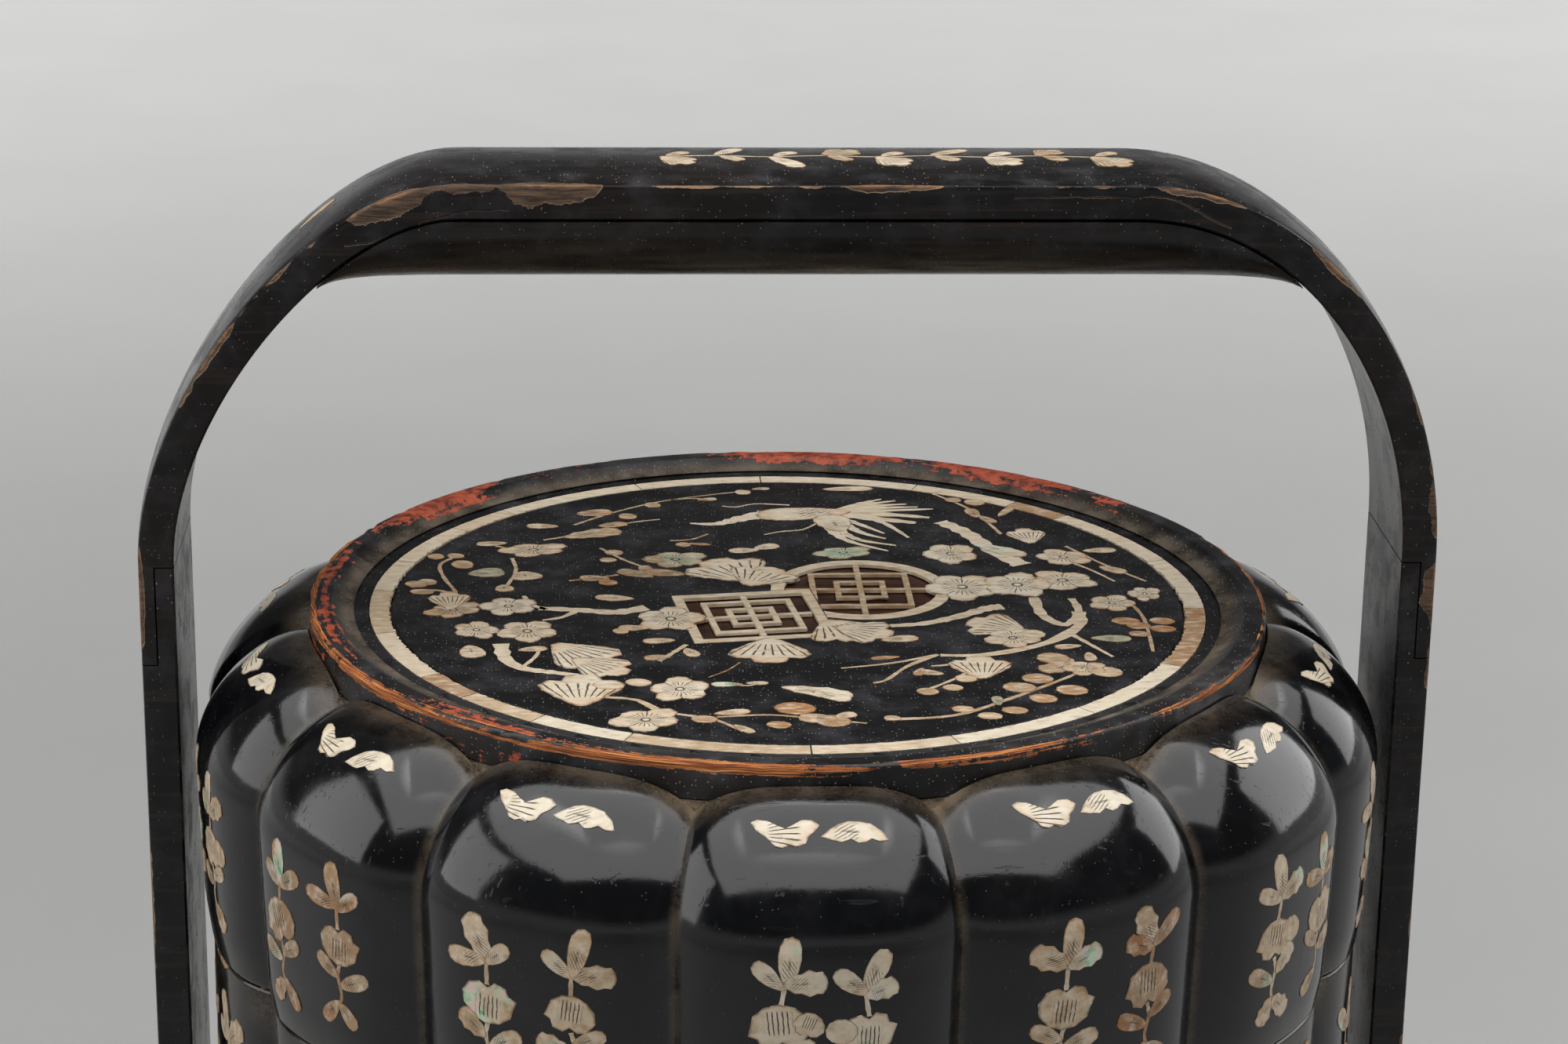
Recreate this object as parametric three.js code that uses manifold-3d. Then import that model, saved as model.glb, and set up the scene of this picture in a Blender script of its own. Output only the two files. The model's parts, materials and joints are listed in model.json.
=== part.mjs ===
// A tiered food basket of black lacquered wood: three lobed boxes and a lobed lid are stacked on a
// stand, between the legs of a tall carrying hoop. Each box and the lid lift off the one below.
// Lengths are millimetres, +Z is up, and the origin is the centre of the underside.
// The hoop stands in the XZ plane, and the front of the basket faces -Y.
import * as THREE from "three";
import { mergeVertices } from "three/addons/utils/BufferGeometryUtils.js";
import Module from "manifold-3d";

// Fits
const seatGap = 0.3; // glue line or running clearance between two pieces
const cutOverrun = 2; // how far a cutting tool runs past the wood
const weldDistance = 0.001;

// The lobed outline that the boxes, the lid and the stand share
const lobes = 14;
const facetsPerLobe = 6;
const bodyRadius = 130; // to the crown of the lid's lobes
const grooveDepth = 6;
const lobeRoundness = 3.4; // power that sets how flat a lobe is before it turns into the groove
const facetCrowding = 0.35; // how strongly facets gather beside the grooves
const roundFacets = 48;

// Stand
const footHeight = 14;
const footWall = 8;
const footSetback = 5; // from the board's edge in to the foot ring's neck
const footFlare = 3;
const footToe = 4; // upright edge below the flare
const footFlareRise = 5;
const boardThickness = 10;
const boardOverhang = 4; // past the boxes' crowns
const boardChamfer = 1.6;
const lugReach = 8; // past the outer face of the hoop's leg
const lugSideWood = 8; // beside the hoop's leg
const lugRound = 10;
const lugRoundFacets = 4;
const boxSeatHeight = 5.5; // raised board that centres the lowest box

// Boxes
const boxNames = ["lower_box", "middle_box", "upper_box"];
const boxHeight = 58; // from one joint line to the next
const boxSetback = 0.5; // boxes stand in from the lid's lower edge
const boxWall = 5.5;
const edgeChamfer = 1.1;
const floorThickness = 4;
const floorRecess = 6.5; // from the box's lower edge up to its floor
const linerWall = 2.5;
const spigotHeight = 5.5; // liner that stands proud of the box's upper edge

// Lid
const lidHeight = 71; // from its lower edge to the top of the round rim
const lidWall = 6;
const lidTaper = 2; // the skirt draws in by this much towards its lower edge
const bellyTaperShare = 0.3; // of that, what it has drawn in at its middle
const shoulderRun = 25;
const shoulderRise = 26;
const shoulderFullnessShare = 0.45; // 0.55 is a true ellipse
const shoulderSteps = 6;
const shoulderDrop = 4; // from the rim's top down to the top of the lobes
const underSteps = 2;
const underCurveShare = 0.55; // how much of the shoulder's curve the inside follows
const seatDepth = 8; // from the rim's top down to the panel's ledge
const seatThickness = 5;
const ledgeWidth = 14.5;

// Round rim and inlaid panel in the lid's top
const rimSetback = 0.5; // from the shoulder's inner edge in to the rim's outer face
const rimTopWidth = 4.7;
const rimChamfer = 1;
const coveRun = 5; // the rim's inner side slopes down over this width
const coveFallShare = 0.67; // how far it has fallen at the middle of that width
const panelRecess = 2.6; // from the rim's top down to the panel's face
const toeThickness = 0.3;
const rimFootWidth = 5.4; // the part of the rim that stands beside the panel
const bandSetback = 3.3; // from the rim's toe in to the mother-of-pearl band
const bandWidth = 4.7;
const bandPieces = 12;
const bandArcFacets = 3;
const pearlThickness = 0.7;
const pearlPocket = 1; // depth of the pockets that hold the pearl

// Two fretted plaques of mother-of-pearl in the middle of the panel
const roundPlaque = { x: 16.6, y: 7.6, radius: 20, frame: 3 };
const squarePlaque = { x: -8, y: -9.7, side: 31, frame: 2.2 };
const squarePlaqueTurn = THREE.MathUtils.degToRad(8);
const fretBar = 1.3;
const roundFretShares = [0.3, 0.62];
const squareFretShares = [0.36, 0.72];
const plaqueFacets = 18;

// Hoop
const hoopClearance = 1.7; // from the reach of the lid's lobes out to a leg's inner face
const hoopRise = 96; // from the lid's rim to the top of the hoop
const hoopDepth = 37;
const hoopThickness = 8.6;
const hoopCrown = 1; // rise of the rounded outer face
const hoopEdge = 0.7;
const hoopInnerChamfer = 1.4;
const cornerRun = 69;
const cornerFall = 84;
const leftFullnessShare = 0.44; // 0.55 is a true ellipse: the left shoulder was bent slacker
const rightFullnessShare = 0.56;
const cornerSteps = 12;
const crownFacets = 4;
const lapHeight = 22; // half-lap joint between the bow and each leg
const tenonWidth = 24;
const tenonShoulder = 1.2;
const tenonShort = 0.6; // the tenon stops short of the board's underside
const pegRadius = 1.6;
const pegSpacing = 13;
const pegBite = 6; // past the tenon into the board
const pegShort = 0.4;
const pegFacets = 12;

// Grip block under the hoop
const gripDrop = 24; // from the top of the hoop to the underside of the grip
const gripEndThickness = 1;
const gripRoundFacets = 6;

// Heights and radii that follow from the sizes above
const boardTop = footHeight + boardThickness;
const lidFootRadius = bodyRadius - lidTaper;
const boxRadius = lidFootRadius - boxSetback;
const linerRadius = boxRadius - boxWall - seatGap;
const shoulderRadius = bodyRadius - shoulderRun;
const rimRadius = shoulderRadius - rimSetback;
const rimToe = rimRadius - rimTopWidth - coveRun;
const panelRadius = rimRadius - rimFootWidth - seatGap;
const bandRadius = rimToe - bandSetback;
const hoopHalfWidth = bodyRadius + hoopClearance + hoopThickness; // to a leg's outer face
const boxBase = (number) => boardTop + seatGap + number * boxHeight;
const lidBase = boxBase(boxNames.length);
const rimTop = lidBase + lidHeight;
const ledgeTop = rimTop - seatDepth;
const panelTop = rimTop - panelRecess;
const hoopTop = rimTop + hoopRise;
const lapTop = hoopTop - cornerFall;
const lapBottom = lapTop - lapHeight;
const tenonInner = hoopHalfWidth - hoopThickness + tenonShoulder;
const tenonOuter = hoopHalfWidth - hoopCrown - tenonShoulder;

// Finishes
const finish = (colour, roughness, metalness = 0) =>
  new THREE.MeshStandardMaterial({ color: colour, roughness, metalness });
const blackLacquer = finish(0x0b0b0c, 0.22);
const wornLacquer = finish(0x1c1411, 0.45);
const redLacquer = finish(0x5a1710, 0.4);
const pearl = finish(0xd9cfb4, 0.3);
const bareWood = finish(0x8a5a2c, 0.7);

const basket = new THREE.Group();

// Adds one named piece to a group.
function addPiece(group, name, geometry, material) {
  const piece = new THREE.Mesh(geometry, material);
  piece.name = name;
  group.add(piece);
  return piece;
}

// Solids that are cut and joined
const wasm = await Module();
wasm.setup();

function toSolid(geometry) {
  const bare = geometry.clone();
  bare.deleteAttribute("normal");
  bare.deleteAttribute("uv");
  const welded = mergeVertices(bare, weldDistance);
  return new wasm.Manifold(
    new wasm.Mesh({
      numProp: 3,
      vertProperties: welded.attributes.position.array,
      triVerts: new Uint32Array(welded.index.array),
    }),
  );
}

function toGeometry(solid) {
  const mesh = solid.getMesh();
  return new THREE.BufferGeometry()
    .setAttribute("position", new THREE.BufferAttribute(mesh.vertProperties, 3))
    .setIndex(new THREE.BufferAttribute(mesh.triVerts, 1));
}

// A box given by its lowest and highest corner.
function blockBetween(low, high) {
  const size = high.map((value, axis) => value - low[axis]);
  const middle = high.map((value, axis) => (value + low[axis]) / 2);
  return new THREE.BoxGeometry(...size).translate(...middle);
}

// Lobed and round turned forms

// 0 on a lobe's crown and 1 at the bottom of a groove.
function grooveShare(angle) {
  const turn = (angle * lobes) / (2 * Math.PI);
  return (2 * Math.abs(turn - Math.round(turn))) ** lobeRoundness;
}

// Direction of a facet's edge: facets are closer together beside a groove.
function facetAngle(step) {
  const lobe = Math.round(step / facetsPerLobe);
  const share = (2 * step) / facetsPerLobe - 2 * lobe;
  const eased = share + (facetCrowding * Math.sin(Math.PI * share)) / Math.PI;
  return ((lobe + eased / 2) * 2 * Math.PI) / lobes;
}

// Turns an outline of [radius, height, pull in, pull down] about Z. The pulls say how far a groove
// draws that point in and down.
function lobedForm(outline) {
  const points = outline.map(([radius, height]) => new THREE.Vector2(radius, height));
  const geometry = new THREE.LatheGeometry(points, lobes * facetsPerLobe);
  const place = geometry.getAttribute("position");
  for (let i = 0; i < place.count; i++) {
    const [radius, height, pullIn = 0, pullDown = 0] = outline[i % outline.length];
    const angle = facetAngle(Math.floor(i / outline.length));
    const share = grooveShare(angle);
    const reach = radius - pullIn * share;
    const rise = height - pullDown * share;
    place.setXYZ(i, reach * Math.sin(angle), -reach * Math.cos(angle), rise);
  }
  return geometry;
}

// A round piece from a closed or axis-to-axis outline of [radius, height].
function roundForm(outline) {
  const points = outline.map(([radius, height]) => new THREE.Vector2(radius, height));
  return new THREE.LatheGeometry(points, roundFacets).rotateX(Math.PI / 2);
}

// The outer edge of a lobed wall or board, from its lower to its upper corner.
function lobedEdge(radius, bottom, top, chamfer) {
  const pull = grooveDepth;
  if (!chamfer) {
    return [
      [radius, bottom, pull],
      [radius, top, pull],
    ];
  }
  return [
    [radius - chamfer, bottom, pull],
    [radius, bottom + chamfer, pull],
    [radius, top - chamfer, pull],
    [radius - chamfer, top, pull],
  ];
}

// A lobed ring wall.
function lobedWall(radius, thickness, bottom, top, chamfer = 0) {
  const outside = lobedEdge(radius, bottom, top, chamfer);
  const inside = [
    [radius - thickness, top, grooveDepth],
    [radius - thickness, bottom, grooveDepth],
  ];
  return lobedForm([...outside, ...inside, outside[0]]);
}

// A lobed board.
function lobedBoard(radius, bottom, top, chamfer = 0) {
  return lobedForm([[0, bottom], ...lobedEdge(radius, bottom, top, chamfer), [0, top]]);
}

// Hoop: its bends, its section and bending a section along them

const flatHalf = hoopHalfWidth - cornerRun;

// The outer face of the bow seen from the front, from the left lap over the top to the right lap:
// a station for each bend of the wood, with the direction that points out of the hoop.
function bowStations() {
  const at = (x, z) => new THREE.Vector3(x, 0, z);
  const [left, right] = [leftFullnessShare, rightFullnessShare];
  const curves = [
    new THREE.LineCurve3(at(-hoopHalfWidth, lapBottom), at(-hoopHalfWidth, lapTop)),
    new THREE.CubicBezierCurve3(
      at(-hoopHalfWidth, lapTop),
      at(-hoopHalfWidth, lapTop + cornerFall * left),
      at(-flatHalf - cornerRun * left, hoopTop),
      at(-flatHalf, hoopTop),
    ),
    new THREE.LineCurve3(at(-flatHalf, hoopTop), at(flatHalf, hoopTop)),
    new THREE.CubicBezierCurve3(
      at(flatHalf, hoopTop),
      at(flatHalf + cornerRun * right, hoopTop),
      at(hoopHalfWidth, lapTop + cornerFall * right),
      at(hoopHalfWidth, lapTop),
    ),
    new THREE.LineCurve3(at(hoopHalfWidth, lapTop), at(hoopHalfWidth, lapBottom)),
  ];
  const stationAt = (curve, share) => {
    const point = curve.getPoint(share);
    const along = curve.getTangent(share);
    return { x: point.x, z: point.z, outX: -along.z, outZ: along.x };
  };
  const stations = [stationAt(curves[0], 0)];
  for (const curve of curves) {
    const steps = curve.isLineCurve3 ? 1 : cornerSteps;
    for (let step = 1; step <= steps; step++) {
      stations.push(stationAt(curve, step / steps));
    }
  }
  return stations;
}

// Section of the hoop: across its depth, and outwards from its outer face.
function hoopSection() {
  const half = hoopDepth / 2;
  const edge = half - hoopEdge;
  const section = new THREE.Shape();
  section.moveTo(-half + hoopInnerChamfer, -hoopThickness);
  section.lineTo(half - hoopInnerChamfer, -hoopThickness);
  section.lineTo(half, -hoopThickness + hoopInnerChamfer);
  section.lineTo(half, -hoopCrown - hoopEdge);
  section.lineTo(edge, -hoopCrown);
  section.quadraticCurveTo(0, hoopCrown, -edge, -hoopCrown);
  section.lineTo(-half, -hoopCrown - hoopEdge);
  section.lineTo(-half, -hoopThickness + hoopInnerChamfer);
  section.closePath();
  return section;
}

// Extrudes a section over a unit length and moves each vertex (across, out, along) with placeAt.
function bentExtrusion(section, steps, curveSegments, placeAt) {
  const geometry = new THREE.ExtrudeGeometry(section, {
    depth: 1,
    steps,
    curveSegments,
    bevelEnabled: false,
  });
  const place = geometry.getAttribute("position");
  for (let i = 0; i < place.count; i++) {
    const moved = placeAt(place.getX(i), place.getY(i), place.getZ(i));
    place.setXYZ(i, ...moved);
  }
  return geometry;
}

function makeBow(stations) {
  const steps = stations.length - 1;
  const strap = bentExtrusion(hoopSection(), steps, crownFacets, (across, out, along) => {
    const station = stations[Math.round(along * steps)];
    return [station.x + station.outX * out, across, station.z + station.outZ * out];
  });
  const past = hoopDepth / 2 + cutOverrun;
  const inside = hoopHalfWidth - hoopThickness - cutOverrun;
  const middle = hoopHalfWidth - hoopThickness / 2;
  let bow = toSolid(strap);
  for (const turn of [0, Math.PI]) {
    const lap = blockBetween([inside, -past, lapBottom - cutOverrun], [middle, past, lapTop]);
    bow = bow.subtract(toSolid(lap.rotateZ(turn)));
  }
  return toGeometry(bow);
}

// One leg, made at +X: its lap at the top, and a pegged tenon that goes through the stand's board.
function makeLeg() {
  const bottom = boardTop + seatGap;
  const top = lapTop - seatGap;
  const strap = bentExtrusion(hoopSection(), 1, crownFacets, (across, out, along) => [
    hoopHalfWidth + out,
    -across,
    bottom + along * (top - bottom),
  ]);
  const past = hoopDepth / 2 + cutOverrun;
  const middle = hoopHalfWidth - hoopThickness / 2;
  const lap = blockBetween(
    [middle - seatGap, -past, lapBottom - seatGap],
    [hoopHalfWidth + cutOverrun, past, top + cutOverrun],
  );
  const tenon = blockBetween(
    [tenonInner, -tenonWidth / 2, footHeight + tenonShort],
    [tenonOuter, tenonWidth / 2, bottom + cutOverrun],
  );
  let leg = toSolid(strap).subtract(toSolid(lap)).add(toSolid(tenon));
  for (const side of [-1, 1]) {
    leg = leg.subtract(toSolid(pegRod(side, seatGap, cutOverrun)));
  }
  return toGeometry(leg);
}

// A peg, or the drill for it, lying along X through the lug at +X and its tenon.
function pegRod(side, extraRadius = 0, extraLength = 0) {
  const outer = hoopHalfWidth + lugReach - pegShort + extraLength;
  const inner = hoopHalfWidth - hoopThickness - pegBite;
  return new THREE.CylinderGeometry(
    pegRadius + extraRadius,
    pegRadius + extraRadius,
    outer - inner,
    pegFacets,
  )
    .rotateZ(Math.PI / 2)
    .translate((outer + inner) / 2, (side * pegSpacing) / 2, footHeight + boardThickness / 2);
}

function pegHole(side) {
  const drill = pegRod(side, seatGap, cutOverrun);
  return drill.translate(-seatGap, 0, 0);
}

// The grip fills the bow's top from corner to corner: its top follows the bow's inner face and its
// underside is level and half-round. Its ends run out to a thin edge.
function makeGrip(stations) {
  const underside = hoopTop - gripDrop;
  const endHeight = underside + gripEndThickness;
  const inset = hoopThickness + seatGap;
  const seat = stations.map(({ x, z, outX, outZ }) => ({ x: x - outX * inset, z: z - outZ * inset }));
  const top = seat.filter(({ z }) => z > endHeight);
  const first = seat.indexOf(top[0]);
  const last = seat.indexOf(top[top.length - 1]);
  const endBetween = (below, above) => {
    const share = (endHeight - below.z) / (above.z - below.z);
    return { x: below.x + (above.x - below.x) * share, z: endHeight };
  };
  top.unshift(endBetween(seat[first - 1], seat[first]));
  top.push(endBetween(seat[last + 1], seat[last]));

  const section = new THREE.Shape();
  section.moveTo(1, 0);
  section.absellipse(0, 0, 1, 1, 0, -Math.PI, true);
  section.closePath();
  const steps = top.length - 1;
  return bentExtrusion(section, steps, gripRoundFacets, (across, out, along) => {
    const { x, z } = top[Math.round(along * steps)];
    return [x, (across * hoopDepth) / 2, z + out * (z - underside)];
  });
}

// Stand

function makeStand(group) {
  const boardRadius = boxRadius + boardOverhang;
  const boardBase = footHeight;
  let board = toSolid(lobedBoard(boardRadius, boardBase, boardTop, boardChamfer));
  const lugHalf = hoopDepth / 2 + lugSideWood;
  const lugEnd = hoopHalfWidth + lugReach;
  const slotHalf = tenonWidth / 2 + seatGap;
  for (const end of [-1, 1]) {
    const lug = new THREE.Shape();
    lug.moveTo(0, -lugHalf);
    lug.lineTo(lugEnd - lugRound, -lugHalf);
    lug.quadraticCurveTo(lugEnd, -lugHalf, lugEnd, -lugHalf + lugRound);
    lug.lineTo(lugEnd, lugHalf - lugRound);
    lug.quadraticCurveTo(lugEnd, lugHalf, lugEnd - lugRound, lugHalf);
    lug.lineTo(0, lugHalf);
    lug.closePath();
    const tongue = new THREE.ExtrudeGeometry(lug, {
      depth: boardThickness,
      curveSegments: lugRoundFacets,
      bevelEnabled: false,
    }).translate(0, 0, boardBase);
    const slot = blockBetween(
      [tenonInner - seatGap, -slotHalf, boardBase - cutOverrun],
      [tenonOuter + seatGap, slotHalf, boardTop + cutOverrun],
    );
    const turn = end < 0 ? Math.PI : 0;
    board = board.add(toSolid(tongue.rotateZ(turn)));
    board = board.subtract(toSolid(slot.rotateZ(turn)));
    for (const side of [-1, 1]) {
      board = board.subtract(toSolid(pegHole(side).rotateZ(turn)));
    }
  }
  addPiece(group, "base_board", toGeometry(board), blackLacquer);

  const seatTop = boardTop + boxSeatHeight;
  const seat = lobedBoard(linerRadius, boardTop + seatGap, seatTop);
  addPiece(group, "base_seat", seat, blackLacquer);

  const neck = boardRadius - footSetback;
  const top = footHeight - seatGap;
  const ring = [
    [neck + footFlare, 0, grooveDepth],
    [neck + footFlare, footToe, grooveDepth],
    [neck, footToe + footFlareRise, grooveDepth],
    [neck, top, grooveDepth],
    [neck - footWall, top, grooveDepth],
    [neck - footWall, 0, grooveDepth],
  ];
  addPiece(group, "foot_ring", lobedForm([...ring, ring[0]]), blackLacquer);
}

function makeHoop(group) {
  const stations = bowStations();
  addPiece(group, "handle_bow", makeBow(stations), blackLacquer);
  addPiece(group, "handle_grip", makeGrip(stations), blackLacquer);
  for (const [side, turn] of [
    ["right", 0],
    ["left", Math.PI],
  ]) {
    addPiece(group, `leg_${side}`, makeLeg().rotateZ(turn), blackLacquer);
    for (const [place, at] of [
      ["front", -1],
      ["rear", 1],
    ]) {
      const peg = pegRod(turn ? -at : at).rotateZ(turn);
      addPiece(group, `leg_peg_${side}_${place}`, peg, bareWood);
    }
  }
}

// Boxes

// One box: lobed wall, a floor recessed to clear the spigot below, and a liner that stands proud of
// the upper edge and centres what is stacked on top.
function makeBox(name) {
  const box = new THREE.Group();
  const top = boxHeight - seatGap;
  const floorTop = floorRecess + floorThickness;
  const wall = lobedWall(boxRadius, boxWall, 0, top, edgeChamfer);
  const floor = lobedBoard(linerRadius, floorRecess, floorTop);
  const liner = lobedWall(linerRadius, linerWall, floorTop + seatGap, top + spigotHeight);
  addPiece(box, `${name}_wall`, wall, blackLacquer);
  addPiece(box, `${name}_floor`, floor, redLacquer);
  addPiece(box, `${name}_liner`, liner, redLacquer);
  return box;
}

// Lid

// The lid's shell: a lobed skirt, rounded shoulders, and a ledge for the round panel. The shoulder
// falls in one curve from the rim, and the grooves deepen it all the way.
function makeLidShell() {
  const shoulderTop = lidHeight - shoulderDrop;
  const shoulderBase = shoulderTop - shoulderRise;
  const ledge = lidHeight - seatDepth;
  const curve = new THREE.CubicBezierCurve(
    new THREE.Vector2(1, 0),
    new THREE.Vector2(1, shoulderFullnessShare),
    new THREE.Vector2(shoulderFullnessShare, 1),
    new THREE.Vector2(0, 1),
  );
  const shoulderPoint = (share, depth) => {
    const { x: out, y: up } = curve.getPoint(share);
    const radius = shoulderRadius + (shoulderRun - depth) * out;
    const height = shoulderBase + (shoulderRise - depth) * up;
    return [radius, height, grooveDepth * out, grooveDepth * up];
  };
  const belly = lidTaper * bellyTaperShare;
  const outline = [
    [lidFootRadius - edgeChamfer, 0, grooveDepth],
    [lidFootRadius, edgeChamfer, grooveDepth],
    [bodyRadius - belly, shoulderBase / 2, grooveDepth],
  ];
  for (let step = 0; step <= shoulderSteps; step++) {
    outline.push(shoulderPoint(step / shoulderSteps, 0));
  }
  outline.push([rimRadius + seatGap, ledge]);
  outline.push([rimRadius - ledgeWidth, ledge]);
  outline.push([rimRadius - ledgeWidth, ledge - seatThickness]);
  for (let step = underSteps; step >= 0; step--) {
    outline.push(shoulderPoint((underCurveShare * step) / underSteps, lidWall));
  }
  outline.push([lidFootRadius - lidWall, 0, grooveDepth]);
  outline.push(outline[0]);
  return lobedForm(outline);
}

// The bent rim round the panel: its inner side slopes down to a toe that laps the panel's edge.
function makeRim() {
  const foot = ledgeTop + seatGap;
  const shelf = panelTop + seatGap;
  const innerTop = rimRadius - rimTopWidth;
  const outline = [
    [rimRadius, foot],
    [rimRadius, rimTop - rimChamfer],
    [rimRadius - rimChamfer, rimTop],
    [innerTop, rimTop],
    [innerTop - coveRun / 2, rimTop - (rimTop - shelf) * coveFallShare],
    [rimToe, shelf + toeThickness],
    [rimToe, shelf],
    [panelRadius + seatGap, shelf],
    [panelRadius + seatGap, foot],
  ];
  return roundForm([...outline, outline[0]]);
}

// A flat bar lattice of nested squares on a cross, inside a square of the given half side.
function fretLattice(half, shares, bottom) {
  const bar = fretBar / 2;
  const top = bottom + pearlThickness;
  const rod = (x0, y0, x1, y1) => toSolid(blockBetween([x0, y0, bottom], [x1, y1, top]));
  let lattice = rod(-half, -bar, half, bar).add(rod(-bar, -half, bar, half));
  for (const share of shares) {
    const reach = half * share;
    for (const side of [-1, 1]) {
      const line = side * reach;
      lattice = lattice.add(rod(-reach - bar, line - bar, reach + bar, line + bar));
      lattice = lattice.add(rod(line - bar, -reach - bar, line + bar, reach + bar));
    }
  }
  return lattice;
}

// A flat plate from a shape, lying between two heights.
function plate(shape, bottom, thickness) {
  return new THREE.ExtrudeGeometry(shape, {
    depth: thickness,
    curveSegments: plaqueFacets,
    bevelEnabled: false,
  }).translate(0, 0, bottom);
}

function discShape(radius, hole = 0) {
  const shape = new THREE.Shape();
  shape.absarc(0, 0, radius, 0, 2 * Math.PI, false);
  if (hole) {
    const inner = new THREE.Path();
    inner.absarc(0, 0, hole, 0, 2 * Math.PI, true);
    shape.holes.push(inner);
  }
  return shape;
}

function squareShape(half, hole = 0) {
  const corners = (reach) => [
    new THREE.Vector2(-reach, -reach),
    new THREE.Vector2(reach, -reach),
    new THREE.Vector2(reach, reach),
    new THREE.Vector2(-reach, reach),
  ];
  const shape = new THREE.Shape(corners(half));
  if (hole) shape.holes.push(new THREE.Path(corners(hole).reverse()));
  return shape;
}

// Turns and moves a geometry to where its plaque lies on the panel.
const atRound = (geometry) => geometry.translate(roundPlaque.x, roundPlaque.y, 0);
const atSquare = (geometry) =>
  geometry.rotateZ(squarePlaqueTurn).translate(squarePlaque.x, squarePlaque.y, 0);

function makePanel() {
  const bottom = ledgeTop + seatGap;
  const pocket = panelTop - pearlPocket;
  const outer = bandRadius + seatGap;
  const inner = bandRadius - bandWidth - seatGap;
  const disc = roundForm([
    [0, bottom],
    [panelRadius, bottom],
    [panelRadius, panelTop],
    [outer, panelTop],
    [outer, pocket],
    [inner, pocket],
    [inner, panelTop],
    [0, panelTop],
  ]);
  const cutDepth = pearlPocket + cutOverrun;
  const roundCut = atRound(plate(discShape(roundPlaque.radius + seatGap), pocket, cutDepth));
  const squareCut = atSquare(plate(squareShape(squarePlaque.side / 2 + seatGap), pocket, cutDepth));
  return toGeometry(toSolid(disc).subtract(toSolid(roundCut)).subtract(toSolid(squareCut)));
}

// One piece of the mother-of-pearl band, made at a share of the circle.
function bandPiece(number) {
  const pitch = (2 * Math.PI) / bandPieces;
  const trim = seatGap / bandRadius;
  const [start, end] = [number * pitch + trim, (number + 1) * pitch - trim];
  const sector = new THREE.Shape();
  sector.absarc(0, 0, bandRadius, start, end, false);
  sector.absarc(0, 0, bandRadius - bandWidth, end, start, true);
  sector.closePath();
  return new THREE.ExtrudeGeometry(sector, {
    depth: pearlThickness,
    curveSegments: bandArcFacets,
    bevelEnabled: false,
  }).translate(0, 0, panelTop - pearlThickness);
}

function makePlaques(group) {
  const bottom = panelTop - pearlThickness;
  const squareHalf = squarePlaque.side / 2;
  const squareHole = squareHalf - squarePlaque.frame;
  const cutBottom = bottom - cutOverrun;
  const cutHeight = pearlThickness + 2 * cutOverrun;
  const overlapCut = toSolid(
    atSquare(plate(squareShape(squareHalf + seatGap), cutBottom, cutHeight)),
  );
  const squareFrame = atSquare(plate(squareShape(squareHalf, squareHole), bottom, pearlThickness));
  const squareFret = toGeometry(fretLattice(squareHole - seatGap, squareFretShares, bottom));
  addPiece(group, "square_plaque_frame", squareFrame, pearl);
  addPiece(group, "square_plaque_fret", atSquare(squareFret), pearl);

  const roundHole = roundPlaque.radius - roundPlaque.frame;
  const roundFrame = atRound(plate(discShape(roundPlaque.radius, roundHole), bottom, pearlThickness));
  const clip = toSolid(plate(discShape(roundHole - seatGap), cutBottom, cutHeight));
  const lattice = fretLattice(roundHole, roundFretShares, bottom).intersect(clip);
  const roundFret = toSolid(atRound(toGeometry(lattice))).subtract(overlapCut);
  addPiece(
    group,
    "round_plaque_frame",
    toGeometry(toSolid(roundFrame).subtract(overlapCut)),
    pearl,
  );
  addPiece(group, "round_plaque_fret", toGeometry(roundFret), pearl);
}

// The whole basket

makeStand(basket);
makeHoop(basket);

boxNames.forEach((name, number) => {
  const box = makeBox(name);
  box.position.z = boxBase(number);
  basket.add(box);
});

const shell = addPiece(basket, "lid_shell", makeLidShell(), blackLacquer);
shell.position.z = lidBase;
addPiece(basket, "lid_rim", makeRim(), wornLacquer);
addPiece(basket, "lid_panel", makePanel(), blackLacquer);
for (let number = 0; number < bandPieces; number++) {
  const label = String(number + 1).padStart(2, "0");
  addPiece(basket, `pearl_band_${label}`, bandPiece(number), pearl);
}
makePlaques(basket);

export default basket;
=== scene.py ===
# %% [markdown]
# # A tiered food basket in black lacquer and mother-of-pearl
#
# Three lobed boxes and a lobed lid stand in a tall carrying hoop. The solids of the basket come
# ready made, with their joints. This lesson gives them their finish: smooth lobes, lacquer that has
# been handled for generations, and inlay cut from shell.

# %% Load the packed basket
import json
import math
import random

import bpy
import numpy as np
from mathutils import Matrix, Vector

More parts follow.
